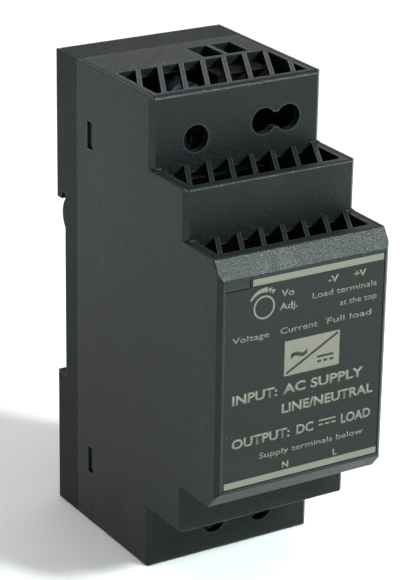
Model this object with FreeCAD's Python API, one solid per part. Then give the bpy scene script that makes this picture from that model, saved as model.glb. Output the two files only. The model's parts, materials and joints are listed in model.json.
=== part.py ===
"""Two-module DIN rail power supply: stepped case, rail foot with sprung latch, boards, terminals.

Millimetres.  +X to the right, -Y to the front, +Z up.  The origin is in the middle of the bottom of
the case.  Depths are measured from the rear face of the foot towards the front panel.
"""
import FreeCAD, Part
import math
import os

Vector = FreeCAD.Vector

# ---- Case ---------------------------------------------------------------------------------------
WIDTH = 35.0                 # two modules
HEIGHT = 90.0
WALL = 1.6
BASE_DEPTH = 8.0             # rear base, up to the seam
SHOULDER_DEPTH = 34.4        # front face of the terminal shoulders
LEDGE_RUN = 11.6             # from the shoulders to the middle step
NOSE_RUN = 11.5              # from the middle step to the front panel
UPPER_SHOULDER_DROP = 13.2   # case top down to the upper ledge
UPPER_LEDGE_DROP = 9.4       # upper ledge down to the top of the nose
LOWER_SHOULDER_RISE = 12.2
LOWER_LEDGE_RISE = 9.0
NOSE_BEVEL_RUN = 2.3         # sloped face above the front panel
NOSE_BEVEL_DROP = 3.4
NOSE_FOOT_RUN = 2.7          # sloped face below the front panel
NOSE_FOOT_RISE = 3.2
UPRIGHT_BEVEL = 0.9          # bevel of the upright front edges
SHOULDER_EDGE_RADIUS = 0.9
STEP_EDGE_RADIUS = 0.5
SIDE_EDGE_RADIUS = 0.3
SEAM_GAP = 0.2
RIM_LINE_INSET = 0.75        # fine line along both long edges of the upward faces
RIM_LINE_WIDTH = 0.28
RIM_LINE_DEPTH = 0.25
FIT = 0.15                   # clearance between parts that are pushed together
CLEAR = 0.1                  # smallest gap between parts that move past each other
PAST = 1.0                   # how far a cutter reaches past the face it opens
SINK = 0.2                   # how far joined shapes run into each other

# ---- Vents --------------------------------------------------------------------------------------
VENT_BORDER = 2.0            # solid strip left at the sides
VENT_FRONT_BORDER = 1.7
VENT_PITCH = 4.42
VENT_RIB = 0.95
VENT_RIB_HEIGHT = 3.0        # blades of the ledges; those in the top and bottom are one wall high
VENT_SLANT = 0.52            # sideways shift per unit of depth
TOP_VENT_START = 18.6        # depth where the top and bottom fields begin
TOP_VENT_PHASE = 3.05        # a rib's distance from the case side at the field's front edge
UPPER_VENT_PHASE = 1.5
NOSE_VENT_PHASE = 2.0

# ---- Front panel --------------------------------------------------------------------------------
LABEL_RIM = 1.2
LABEL_END_GAP = 0.45
LABEL_RECESS = 0.5
LABEL_THICKNESS = 0.38
LABEL_GAP = 0.12
WINDOW_WIDTH = 4.7
WINDOW_HEIGHT = 1.45
WINDOW_GAP = 0.2
LIGHT_GUIDE_WIDTH = 2.0
LIGHT_GUIDE_STEM = 1.2       # how far the stem reaches past the wall
LED_LENGTH = 1.2
LED_SIZE = 1.1

# ---- DIN rail foot and latch --------------------------------------------------------------------
RAIL_AXIS_Z = 45.5           # middle of the rail above the bottom
RAIL_WIDTH = 35.0
RAIL_FLANGE = 1.0
SLOT_DEPTH = 3.2
LIP_DEPTH = 1.9              # thickness of the fixed lip and of the latch nose
LIP_OVERLAP = 1.3            # how far lip and nose reach over the rail flange
RAIL_PLAY = 0.15
LOWER_LIP_GAP = 1.1          # fixed lower edge stands back from the rail
PRELOAD_BUMP = 1.0           # bumps that press on the rail below the hook
PRELOAD_RISE = 5.6
PRELOAD_WIDTH = 4.0
LATCH_WIDTH = 11.7
LATCH_FLANGE = 1.6
LATCH_FLANGE_DEPTH = 1.75
LATCH_DEPTH = 4.25
LATCH_TRAVEL = 4.0
LATCH_FOOT_CLEARANCE = 0.5  # left above the case bottom at full travel
LATCH_PLAY = 0.15
LATCH_SET_BACK = 0.3
SPRING_RADIUS = 1.35
SPRING_WIRE = 0.45
SPRING_LENGTH = 8.3
SPRING_TURNS = 7
SPRING_STOP_Z = 12.2
SPRING_STOP = 1.5
LATCH_PULL_SLOT = 2.0
LATCH_PULL_RISE = 2.0        # pull slot above the latch's lower end
LATCH_FLANGE_FOOT = 3.0      # flanges start above the lower end
LATCH_FLANGE_HEAD = 2.0      # and stop below the rail
LATCH_NOSE_CHAMFER = 1.3
LATCH_NOSE_TIP = 0.4
SPRING_COVER = 0.8           # latch skin behind the spring
SPRING_SIDE_ROOM = 0.5

# ---- Snap joints between base and housing -------------------------------------------------------
SNAP_LENGTH = 5.2
SNAP_WINDOW = 2.0
SNAP_DEPTH = 11.7            # depth where a window begins
SNAP_END_OFFSET = 12.9       # centre of a snap from the top and from the bottom
SNAP_TONGUE = 1.2
SNAP_NIB = 1.1
SNAP_RAMP = 0.6              # where the nib's ramp turns, as a share of the nib
SNAP_TIP = 0.4               # tongue beyond the window

# ---- Boards -------------------------------------------------------------------------------------
BOARD = 1.6
BOARD_BEHIND = 0.6           # gap between the seam and the main board
BOARD_EDGE = 0.3
LEAD_RADIUS = 0.35
LEAD_HOLE = 0.12
LEAD_TAIL = 1.0
POST_RADIUS = 1.5
POST_INSET = 3.6
STOP_SIZE = 1.4              # nubs in the housing that hold the board down
STOP_GAP = 1.0               # between a snap and the nub beside it
INSULATION = 0.3
INSULATION_RISE = 1.4        # sheet above the base's floor
INSULATION_SIDE = 2.4        # clear of the snap tongues
INSULATION_END = 1.0
DAUGHTER_INSET = 4.1         # face of the upright board from the left side of the case
DAUGHTER_GAP = 0.9
DAUGHTER_LOW_Z = 46.0
HEADER_PINS = 8
HEADER_PITCH = 2.54
HEADER_RISE = 4.0            # first pin above the upright board's lower end

# ---- Screw terminals ----------------------------------------------------------------------------
PITCH = 5.08
OUTPUT_EDGE = 9.54           # middle of the output pair from the right side
INPUT_EDGE = 11.24           # left face of the input block from the left side
INPUT_SPAN = 2               # input poles are this many pitches apart
ENTRY_WIDTH = 4.2
ENTRY_DEPTH = 6.6
ENTRY_START = 11.0
BLOCK_LENGTH = 10.4
BLOCK_DEPTH = 13.4
BLOCK_SKIN = 0.3
CAGE_WIDTH = 3.9
CAGE_LENGTH = 5.2
CAGE_HEIGHT = 5.8
CAGE_WALL = 0.6
CAGE_NUT = 1.2
CAGE_BACK = 1.4
CAGE_TRAVEL = 2.5
CAGE_PLAY = 0.1
CAGE_HEADROOM = 0.3          # left above the cage at full travel
BAR_THICKNESS = 0.8
BAR_WIDTH = 2.5
BAR_STAND_OFF = 0.5          # foot of the bar above the board
BAR_GAP = 0.2                # between the bar and the cage's nut
BAR_OVERHANG = 1.0           # bar beyond the cage, where it turns down to the board
SCREW_RADIUS = 1.25
SCREW_HEAD_RADIUS = 1.9
SCREW_HEAD = 1.6
SCREW_SLOT = 0.6
SCREW_SLOT_DEPTH = 0.8
SCREW_CROSS = 2.2            # length of the cross slot's short arm
SCREW_PLAY = 0.05
HEAD_PLAY = 0.08
WEB = 1.0
WIRE_WIDTH = 3.4
DRIVER_RADIUS = 2.45         # screwdriver holes in the shoulders
DRIVER_WAIST = 2.8
OUTPUT_DRIVER_DROP = 7.65    # output screws below the case top
INPUT_DRIVER_RISE = 6.3      # input screws above the bottom

# ---- Output voltage trimmer ---------------------------------------------------------------------
TRIMMER_EDGE = 9.05          # from the left side
TRIMMER_DROP = 8.7
TRIMMER_HOLE_RADIUS = 2.5
TRIMMER_BODY = 6.6
TRIMMER_BODY_DEPTH = 6.0
TRIMMER_SET_BACK = 1.3       # behind the shoulder's inner face
ROTOR_RADIUS = 1.7
ROTOR_LENGTH = 2.4
ROTOR_PLAY = 0.06
ROTOR_PROUD = 0.3            # rotor stands out of its body
ROTOR_SLOT = 0.6
ROTOR_SLOT_DEPTH = 0.6
ROTOR_CROSS = 2.2

# ---- Surface parts on the upright board ---------------------------------------------------------
CHIP_GAP = 0.02              # under every part that sits on a board face
CHIP_DROP = 28.0             # chips below the case top
CONTROL_IC_DEPTH, CONTROL_IC_SIZE = 30.0, (1.9, 4.0, 5.0)
OPTOCOUPLER_DEPTH, OPTOCOUPLER_SIZE = 18.0, (3.6, 6.4, 4.6)
LEG_PITCH, LEG_WIDTH, LEG_THICKNESS, LEG_REACH = 1.27, 0.4, 0.5, 0.9
RESISTOR_SIZE = (0.55, 2.0, 1.25)
RESISTOR_ROWS, RESISTOR_COLUMNS = 3, 2
RESISTOR_DEPTH, RESISTOR_DROP = 36.0, 34.0
RESISTOR_COLUMN_STEP, RESISTOR_ROW_STEP = 4.0, 3.2

# ---- Components on the main board ---------------------------------------------------------------
FUSE_SIZE = (8.4, 7.6, 4.0)
FUSE_GAP = 0.14              # between the fuse and the input terminal block
X_CAPACITOR_SIZE = (13.0, 12.0, 6.0)
X_CAPACITOR_GAP = 0.2        # between it and the nubs of the housing
BULK_RADIUS, BULK_HEIGHT = 7.5, 26.0
CAN_RADIUS, CAN_HEIGHT = 4.0, 12.0
BIG_CAN_RADIUS, BIG_CAN_HEIGHT = 4.6, 12.0
CAN_EDGE_RADIUS = 0.6
CAN_GAP = 0.05               # between the row of cans and the output terminal block
CAN_EDGE = 15.3              # the row's right can from the right side
CRIMP_RISE, CRIMP_WIDTH, CRIMP_DEPTH = 1.4, 0.8, 0.35
SCORE_WIDTH, SCORE_DEPTH = 0.3, 0.2
CORE_WIDTH, CORE_LENGTH, CORE_THICKNESS = 20.5, 20.5, 6.0
CORE_LEG = 6.0
CORE_SIDE_LEG = 3.8
CORE_RISE = 7.0
BOBBIN_WALL = 0.7
DEVICE_WIDTH, DEVICE_LENGTH, DEVICE_BODY, DEVICE_TAB = 10.0, 15.0, 4.2, 1.2
DEVICE_BODY_SHARE = 0.6      # moulded body; the rest is the bare tab
DEVICE_RISE = 3.0
DEVICE_PITCH = 2.54
DEVICE_EDGE = 10.9           # middle of the devices from the left side
SINK_WIDTH, SINK_HEIGHT, SINK_THICKNESS, SINK_FOLD = 12.0, 22.0, 1.6, 4.2
SINK_PEG_RADIUS, SINK_PEG_SHARE = 0.5, 0.7
CLAMP_RADIUS, CLAMP_HEAD_RADIUS, CLAMP_HEAD, CLAMP_NUT = 1.45, 2.6, 1.6, 2.0
CLAMP_SLOT = 0.7
CLAMP_PLAY = 0.03
CLAMP_NUT_CORNER = 1.1       # nut across corners over the screw head
CHOKE_RISE = 0.3
CHOKE_SPLIT = 0.9            # half the gap between the two windings
CHOKE_LEAD_X, CHOKE_LEAD_START = 0.55, 0.75   # where the wire leaves, as shares of the radius
DISC_RISE = 1.2              # discs stand above the other parts' feet
DISC_ROUND = 0.3             # edge radius as a share of the thickness
DRUM_RADIUS = 3.6
DRUM_GAP = 0.15              # between the inductor and the snap tongue
DRUM_RISE, DRUM_FLANGE, DRUM_HEIGHT, DRUM_WAIST = 0.6, 1.4, 9.2, 0.7
BOBBIN_REACH = 7.2
BOBBIN_PINS = 4
BOBBIN_PITCH = 3.2
BOBBIN_PIN_INSET = 2.0
WINDING_INSET = 0.7
WINDING_RADIUS = 1.5
TAPE, TAPE_GAP, TAPE_INSET = 0.2, 0.05, 1.4
GAP = 0.15                   # between touching stages of the transformer
STAND_OFF = 0.4              # components above the board

# ---- Worked out ---------------------------------------------------------------------------------
HALF = WIDTH / 2
LEDGE_DEPTH = SHOULDER_DEPTH + LEDGE_RUN
DEPTH = LEDGE_DEPTH + NOSE_RUN
REAR_Y = DEPTH / 2
UPPER_LEDGE_Z = HEIGHT - UPPER_SHOULDER_DROP
NOSE_TOP_Z = UPPER_LEDGE_Z - UPPER_LEDGE_DROP
PANEL_TOP_Z = NOSE_TOP_Z - NOSE_BEVEL_DROP
LOWER_LEDGE_Z = LOWER_SHOULDER_RISE
NOSE_FOOT_Z = LOWER_LEDGE_Z + LOWER_LEDGE_RISE
PANEL_FOOT_Z = NOSE_FOOT_Z + NOSE_FOOT_RISE
INNER = HALF - WALL
LATCH_BOTTOM = LATCH_TRAVEL + LATCH_FOOT_CLEARANCE
RAIL_TOP = RAIL_AXIS_Z + RAIL_WIDTH / 2
RAIL_FOOT = RAIL_AXIS_Z - RAIL_WIDTH / 2
SLOT_TOP = RAIL_TOP + RAIL_PLAY - LIP_OVERLAP
SLOT_FOOT = RAIL_FOOT - LOWER_LIP_GAP
FLOOR_DEPTH = SLOT_DEPTH + WALL
BOARD_BACK = BASE_DEPTH + BOARD_BEHIND
BOARD_FACE = BOARD_BACK + BOARD
PART_BACK = BOARD_FACE + STAND_OFF
DAUGHTER_FACE = -HALF + DAUGHTER_INSET + BOARD
OUTPUT_X = [HALF - OUTPUT_EDGE - PITCH / 2, HALF - OUTPUT_EDGE + PITCH / 2]
INPUT_LEFT = -HALF + INPUT_EDGE
INPUT_X = [INPUT_LEFT + BLOCK_SKIN + PITCH / 2, INPUT_LEFT + BLOCK_SKIN + (INPUT_SPAN + 1 / 2) * PITCH]
OUTPUT_Z = HEIGHT - OUTPUT_DRIVER_DROP
INPUT_Z = INPUT_DRIVER_RISE
TRIMMER_X = -HALF + TRIMMER_EDGE
TRIMMER_Z = HEIGHT - TRIMMER_DROP
SNAP_Z = [SNAP_END_OFFSET, HEIGHT - SNAP_END_OFFSET]
CAGE_START = BOARD_FACE + CAGE_BACK
CAGE_ROOF = CAGE_START + CAGE_HEIGHT
BAR_FACE = CAGE_ROOF - CAGE_NUT - BAR_GAP
WEB_START = CAGE_ROOF + CAGE_TRAVEL + CAGE_HEADROOM
HEAD_SEAT = WEB_START + WEB
LED_Z = PANEL_TOP_Z - LABEL_END_GAP - WINDOW_HEIGHT / 2
CAN_ROW_Z = HEIGHT - WALL - FIT - BLOCK_LENGTH - CAN_GAP - CAN_RADIUS

nodes = {}
leads = []                   # (x, z, radius) of every lead through the main board


# ---- Helpers ------------------------------------------------------------------------------------
def at(x, depth, z):
    """Point at a depth measured from the rear face."""
    return Vector(x, REAR_Y - depth, z)


def block(x, depth, z):
    """Box from three (low, high) pairs."""
    return Part.makeBox(x[1] - x[0], depth[1] - depth[0], z[1] - z[0], at(x[0], depth[1], z[0]))


def peg(x, z, depth, radius):
    """Cylinder along the depth."""
    return Part.makeCylinder(radius, depth[1] - depth[0], at(x, depth[0], z), Vector(0, -1, 0))


def plate(outline, x):
    """Plate between two x values with an outline of (depth, z) points."""
    points = [at(x[0], depth, z) for depth, z in outline]
    face = Part.Face(Part.makePolygon(points + points[:1]))
    return face.extrude(Vector(x[1] - x[0], 0, 0))


def flat(outline, z):
    """Slab between two z values with an outline of (x, depth) points."""
    points = [at(x, depth, z[0]) for x, depth in outline]
    face = Part.Face(Part.makePolygon(points + points[:1]))
    return face.extrude(Vector(0, 0, z[1] - z[0]))


def span(start, end):
    """Low and high of two values."""
    return (min(start, end), max(start, end))


def joined(shapes):
    """One solid from shapes that touch or overlap."""
    whole = shapes[0].multiFuse(shapes[1:]) if len(shapes) > 1 else shapes[0]
    return whole.removeSplitter()


def mirrored(shape, z):
    """Copy reflected in the horizontal plane at z."""
    return shape.mirror(Vector(0, 0, z), Vector(0, 0, 1))


def keep(name, *solids):
    """Store a node."""
    nodes[name] = solids[0] if len(solids) == 1 else Part.makeCompound(list(solids))


def lead(x, z, start, radius=LEAD_RADIUS):
    """Round lead through the main board, from a depth back to its tail."""
    leads.append((x, z, radius))
    return peg(x, z, (BOARD_BACK - LEAD_TAIL, start), radius)


def edges_along(shape, test):
    """Straight edges whose two ends pass a test."""
    return [e for e in shape.Edges if len(e.Vertexes) == 2 and all(test(v.Point) for v in e.Vertexes)]


# ---- Case shells --------------------------------------------------------------------------------
def case_outline(inset, back, foot_wall):
    """Stepped side view of the case as (depth, z) points, moved inwards by an inset."""
    upper_turn = math.atan2(NOSE_BEVEL_DROP, NOSE_BEVEL_RUN)
    lower_turn = math.atan2(NOSE_FOOT_RISE, NOSE_FOOT_RUN)
    shift = [inset * math.tan(turn / 2) for turn in
             (upper_turn, math.pi / 2 - upper_turn, math.pi / 2 - lower_turn, lower_turn)]
    shoulder, ledge, front = SHOULDER_DEPTH - inset, LEDGE_DEPTH - inset, DEPTH - inset
    return [(back, foot_wall), (back, HEIGHT - inset), (shoulder, HEIGHT - inset),
            (shoulder, UPPER_LEDGE_Z - inset), (ledge, UPPER_LEDGE_Z - inset),
            (ledge, NOSE_TOP_Z - inset), (DEPTH - NOSE_BEVEL_RUN - shift[0], NOSE_TOP_Z - inset),
            (front, PANEL_TOP_Z - shift[1]), (front, PANEL_FOOT_Z + shift[2]),
            (DEPTH - NOSE_FOOT_RUN - shift[3], NOSE_FOOT_Z + inset), (ledge, NOSE_FOOT_Z + inset),
            (ledge, LOWER_LEDGE_Z + inset), (shoulder, LOWER_LEDGE_Z + inset),
            (shoulder, foot_wall)]


def upright_bevels():
    """Wedges that bevel the upright front edges of each step."""
    steps = [(SHOULDER_DEPTH, UPPER_LEDGE_Z, HEIGHT), (SHOULDER_DEPTH, 0, LOWER_LEDGE_Z),
             (LEDGE_DEPTH, NOSE_TOP_Z, UPPER_LEDGE_Z), (LEDGE_DEPTH, LOWER_LEDGE_Z, NOSE_FOOT_Z),
             (DEPTH, NOSE_FOOT_Z, NOSE_TOP_Z)]
    wedges = []
    for depth, low, high in steps:
        for side in (-1, 1):
            outline = [(side * (HALF - UPRIGHT_BEVEL), depth), (side * HALF, depth - UPRIGHT_BEVEL),
                       (side * (HALF + PAST), depth - UPRIGHT_BEVEL), (side * (HALF + PAST), depth + PAST),
                       (side * (HALF - UPRIGHT_BEVEL), depth + PAST)]
            wedges.append(flat(outline, (low, high)))
    return wedges


def case_block():
    """Solid outer form of the front housing with its edges rounded."""
    body = plate(case_outline(0, BASE_DEPTH, 0), (-HALF, HALF))

    def corner(depth, z):
        y = REAR_Y - depth
        return edges_along(body, lambda p: abs(p.y - y) < 0.01 and abs(p.z - z) < 0.01)

    wide = corner(SHOULDER_DEPTH, HEIGHT) + corner(SHOULDER_DEPTH, 0)
    small = []
    for depth, z in ((LEDGE_DEPTH, UPPER_LEDGE_Z), (DEPTH - NOSE_BEVEL_RUN, NOSE_TOP_Z),
                     (DEPTH, PANEL_TOP_Z), (DEPTH, PANEL_FOOT_Z),
                     (DEPTH - NOSE_FOOT_RUN, NOSE_FOOT_Z), (LEDGE_DEPTH, LOWER_LEDGE_Z)):
        small += corner(depth, z)
    body = body.makeFillet(SHOULDER_EDGE_RADIUS, wide)
    small = [e for e in body.Edges if any(e.CenterOfMass.distanceToPoint(s.CenterOfMass) < 0.01
                                          for s in small)]
    body = body.makeFillet(STEP_EDGE_RADIUS, small)
    rear = REAR_Y - BASE_DEPTH
    sides = edges_along(body, lambda p: abs(abs(p.x) - HALF) < 0.01)
    sides = [e for e in sides if not all(abs(v.Point.y - rear) < 0.01 for v in e.Vertexes)]
    body = body.makeFillet(SIDE_EDGE_RADIUS, sides)
    return body.cut(upright_bevels())


def vent_slots(z_face, start, end, phase, reach):
    """Slanted slots and the deeper blades between them, for one field in an upward face.

    Returns the cutter and the blades.  reach is how far the blades hang below the face.
    """
    field = block((-HALF + VENT_BORDER, HALF - VENT_BORDER), (start, end),
                  (z_face - WALL - PAST, z_face + PAST))
    drift = VENT_SLANT * (end - start)
    blades = []
    offset = phase - math.ceil(phase / VENT_PITCH) * VENT_PITCH
    first = offset - math.ceil(drift / VENT_PITCH) * VENT_PITCH
    count = int(math.ceil((WIDTH - first) / VENT_PITCH)) + 1
    for i in range(count):
        left = -HALF + first + i * VENT_PITCH
        outline = [(left, end), (left + VENT_RIB, end),
                   (left + VENT_RIB + drift, start), (left + drift, start)]
        blades.append(flat(outline, (z_face - reach, z_face)))
    blades = Part.makeCompound(blades)
    blades = blades.common(block((-HALF + VENT_BORDER, HALF - VENT_BORDER), (start, end),
                                 (z_face - reach, z_face)))
    return field, blades


def vent_fields():
    """Cutters and blades for the six vent fields."""
    nose_end = DEPTH - NOSE_BEVEL_RUN - VENT_FRONT_BORDER
    foot_end = DEPTH - NOSE_FOOT_RUN - VENT_FRONT_BORDER
    ledge_end = LEDGE_DEPTH - VENT_FRONT_BORDER
    top_end = SHOULDER_DEPTH - VENT_FRONT_BORDER
    rows = [(HEIGHT, TOP_VENT_START, top_end, TOP_VENT_PHASE, WALL, False),
            (UPPER_LEDGE_Z, SHOULDER_DEPTH, ledge_end, UPPER_VENT_PHASE, VENT_RIB_HEIGHT, False),
            (NOSE_TOP_Z, LEDGE_DEPTH, nose_end, NOSE_VENT_PHASE, VENT_RIB_HEIGHT, False),
            (0, TOP_VENT_START, top_end, TOP_VENT_PHASE, WALL, True),
            (LOWER_LEDGE_Z, SHOULDER_DEPTH, ledge_end, UPPER_VENT_PHASE, VENT_RIB_HEIGHT, True),
            (NOSE_FOOT_Z, LEDGE_DEPTH, foot_end, NOSE_VENT_PHASE, VENT_RIB_HEIGHT, True)]
    cutters, blades = [], []
    for z, start, end, phase, reach, below in rows:
        cutter, bars = vent_slots(z, start, end, phase, reach)
        cutters.append(mirrored(cutter, z) if below else cutter)
        blades.append(mirrored(bars, z) if below else bars)
    return cutters, blades


def rim_lines(faces):
    """Fine grooves along the sides of flat faces given as (z, start, end, facing)."""
    cuts = []
    for z, start, end, up in faces:
        low, high = (z - RIM_LINE_DEPTH, z + PAST) if up else (z - PAST, z + RIM_LINE_DEPTH)
        for side in (-1, 1):
            near = side * (HALF - RIM_LINE_INSET)
            far = near - side * RIM_LINE_WIDTH
            cuts.append(block((min(near, far), max(near, far)), (start, end), (low, high)))
    return cuts


def wire_entries():
    """Square wire openings in the top and the bottom of the housing."""
    cuts = []
    for xs, low in ((OUTPUT_X, HEIGHT - WALL - PAST), (INPUT_X, -PAST)):
        for x in xs:
            cuts.append(block((x - ENTRY_WIDTH / 2, x + ENTRY_WIDTH / 2),
                              (ENTRY_START, ENTRY_START + ENTRY_DEPTH), (low, low + WALL + 2 * PAST)))
    return cuts


def driver_holes():
    """Round screwdriver holes in the shoulders, the output pair joined by a waist."""
    through = (SHOULDER_DEPTH - WALL - PAST, SHOULDER_DEPTH + PAST)
    cuts = [peg(TRIMMER_X, TRIMMER_Z, through, TRIMMER_HOLE_RADIUS)]
    cuts += [peg(x, OUTPUT_Z, through, DRIVER_RADIUS) for x in OUTPUT_X]
    cuts += [peg(x, INPUT_Z, through, DRIVER_RADIUS) for x in INPUT_X]
    cuts.append(block(tuple(OUTPUT_X), through, (OUTPUT_Z - DRIVER_WAIST / 2, OUTPUT_Z + DRIVER_WAIST / 2)))
    return cuts


def panel_recess():
    """Shallow recess for the label, and the slot that the light guide passes through."""
    recess = block((-HALF + LABEL_RIM, HALF - LABEL_RIM), (DEPTH - LABEL_RECESS, DEPTH + PAST),
                   (PANEL_FOOT_Z + LABEL_END_GAP, PANEL_TOP_Z - LABEL_END_GAP))
    guide_left = -HALF + LABEL_RIM + WINDOW_GAP + LABEL_GAP
    slot = block((guide_left - LABEL_GAP, guide_left + LIGHT_GUIDE_WIDTH + LABEL_GAP),
                 (DEPTH - LABEL_RECESS - WALL - LIGHT_GUIDE_STEM - FIT, DEPTH),
                 (LED_Z - LED_SIZE / 2 - LABEL_GAP, LED_Z + LED_SIZE / 2 + LABEL_GAP))
    return [recess, slot]


def snap_windows():
    """Slots in the side walls for the base's snap nibs."""
    cuts = []
    for z in SNAP_Z:
        for x in ((-HALF - PAST, -INNER + PAST), (INNER - PAST, HALF + PAST)):
            cuts.append(block(x, (SNAP_DEPTH, SNAP_DEPTH + SNAP_WINDOW),
                              (z - SNAP_LENGTH / 2, z + SNAP_LENGTH / 2)))
    return cuts


def front_housing():
    """Stepped shell with vents, wire entries, screwdriver holes and board stops."""
    body = case_block()
    hollow = plate(case_outline(WALL, BASE_DEPTH - PAST, WALL), (-INNER, INNER))
    body = body.cut(hollow)
    cutters, blades = vent_fields()
    body = body.cut(cutters)
    body = body.fuse(blades)
    faces = [(HEIGHT, BASE_DEPTH, SHOULDER_DEPTH, True), (UPPER_LEDGE_Z, SHOULDER_DEPTH, LEDGE_DEPTH, True),
             (NOSE_TOP_Z, LEDGE_DEPTH, DEPTH - NOSE_BEVEL_RUN, True)]
    body = body.cut(rim_lines(faces) + wire_entries() + driver_holes() + panel_recess() + snap_windows())
    stops = []
    for z in SNAP_Z:
        for side in (-1, 1):
            x = span(side * (INNER - STOP_SIZE), side * (INNER + SINK))
            offset = SNAP_LENGTH / 2 + STOP_SIZE + STOP_GAP
            low = z + offset if z < HEIGHT / 2 else z - offset - STOP_SIZE
            stops.append(block(x, (BOARD_FACE + GAP, BOARD_FACE + GAP + STOP_SIZE), (low, low + STOP_SIZE)))
    return joined([body] + stops)


# ---- Base, latch and spring ---------------------------------------------------------------------
def rear_base():
    """Tray with the rail hook, preload bumps, the latch channel, posts and snap tongues."""
    body = block((-HALF, HALF), (0, BASE_DEPTH - SEAM_GAP), (0, HEIGHT))
    front = REAR_Y - BASE_DEPTH + SEAM_GAP
    corners = [e for e in body.Edges if not all(abs(v.Point.y - front) < 0.01 for v in e.Vertexes)
               and not abs(e.Vertexes[0].Point.x + e.Vertexes[1].Point.x) < 0.01]
    body = body.makeFillet(SIDE_EDGE_RADIUS, corners)
    slot = block((-HALF - PAST, HALF + PAST), (-PAST, SLOT_DEPTH), (SLOT_FOOT, SLOT_TOP))
    groove = block((-HALF - PAST, HALF + PAST), (LIP_DEPTH, SLOT_DEPTH),
                   (SLOT_TOP - SINK, RAIL_TOP + RAIL_PLAY))
    tray = block((-INNER, INNER), (FLOOR_DEPTH, BASE_DEPTH), (WALL, HEIGHT - WALL))
    hook_pocket = block((-INNER, INNER), (WALL, FLOOR_DEPTH + SINK),
                        (RAIL_TOP + RAIL_PLAY + WALL, HEIGHT - WALL))
    body = body.cut([slot, groove, tray, hook_pocket])

    channel_depth = LATCH_DEPTH + LATCH_PLAY
    floor_half = LATCH_WIDTH / 2 + LATCH_FLANGE + LATCH_PLAY + WALL
    floor = block((-floor_half, floor_half), (FLOOR_DEPTH - SINK, channel_depth + WALL),
                  (WALL / 2, SLOT_FOOT - SINK))
    body = body.fuse(floor)
    neck = LATCH_WIDTH / 2 + LATCH_PLAY
    shoulder = neck + LATCH_FLANGE
    channel = [block((-neck, neck), (-PAST, channel_depth), (-PAST, SLOT_FOOT + PAST)),
               block((-shoulder, shoulder), (LATCH_FLANGE_DEPTH - LATCH_PLAY, channel_depth),
                     (-PAST, SLOT_FOOT + PAST))]
    slot_clear = block((-HALF - PAST, HALF + PAST), (-PAST, SLOT_DEPTH), (SLOT_FOOT, SLOT_TOP))
    body = body.cut(channel + [slot_clear])
    stop_half = SPRING_RADIUS + SPRING_SIDE_ROOM - CLEAR
    stop = block((-stop_half, stop_half), (LATCH_SET_BACK + SPRING_COVER + CLEAR, channel_depth + CLEAR),
                 (SPRING_STOP_Z, SPRING_STOP_Z + SPRING_STOP))
    body = body.fuse(stop)

    bump_top = RAIL_TOP + RAIL_PLAY - RAIL_FLANGE
    bump_foot = bump_top - PRELOAD_RISE
    ends = at(-HALF, SLOT_DEPTH, bump_top), at(-HALF, SLOT_DEPTH, bump_foot)
    peak = at(-HALF, SLOT_DEPTH - PRELOAD_BUMP, (bump_top + bump_foot) / 2)
    root = at(-HALF, SLOT_DEPTH + WALL / 2, bump_foot), at(-HALF, SLOT_DEPTH + WALL / 2, bump_top)
    rim = [Part.Arc(ends[0], peak, ends[1]).toShape(), Part.makePolygon([ends[1], *root, ends[0]])]
    bump = Part.Face(Part.Wire([rim[0]] + rim[1].Edges)).extrude(Vector(PRELOAD_WIDTH, 0, 0))
    body = body.fuse([bump, bump.translated(Vector(WIDTH - PRELOAD_WIDTH, 0, 0))])

    extras = []
    for z in (POST_INSET, HEIGHT - POST_INSET):
        for x in (-INNER + POST_INSET, INNER - POST_INSET):
            back = FLOOR_DEPTH - SINK if z < HEIGHT / 2 else WALL - SINK
            extras.append(peg(x, z, (back, BOARD_BACK), POST_RADIUS))
    for z in SNAP_Z:
        for side in (-1, 1):
            outer, inner = INNER - FIT, INNER - FIT - SNAP_TONGUE
            half = SNAP_LENGTH / 2 - FIT
            tongue = [(inner, FLOOR_DEPTH - SINK), (INNER + SINK, FLOOR_DEPTH - SINK),
                      (INNER + SINK, BASE_DEPTH - SEAM_GAP), (outer, BASE_DEPTH - SEAM_GAP),
                      (outer, SNAP_DEPTH + FIT), (outer + SNAP_NIB, SNAP_DEPTH + FIT),
                      (outer + SNAP_NIB * SNAP_RAMP, SNAP_DEPTH + SNAP_WINDOW * SNAP_RAMP),
                      (outer, SNAP_DEPTH + SNAP_WINDOW - FIT), (outer, SNAP_DEPTH + SNAP_WINDOW + SNAP_TIP),
                      (inner, SNAP_DEPTH + SNAP_WINDOW + SNAP_TIP)]
            extras.append(flat([(side * x, d) for x, d in tongue], (z - half, z + half)))
    body = body.cut(rim_lines([(HEIGHT, 0, BASE_DEPTH, True)]))
    return joined([body] + extras)


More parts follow.
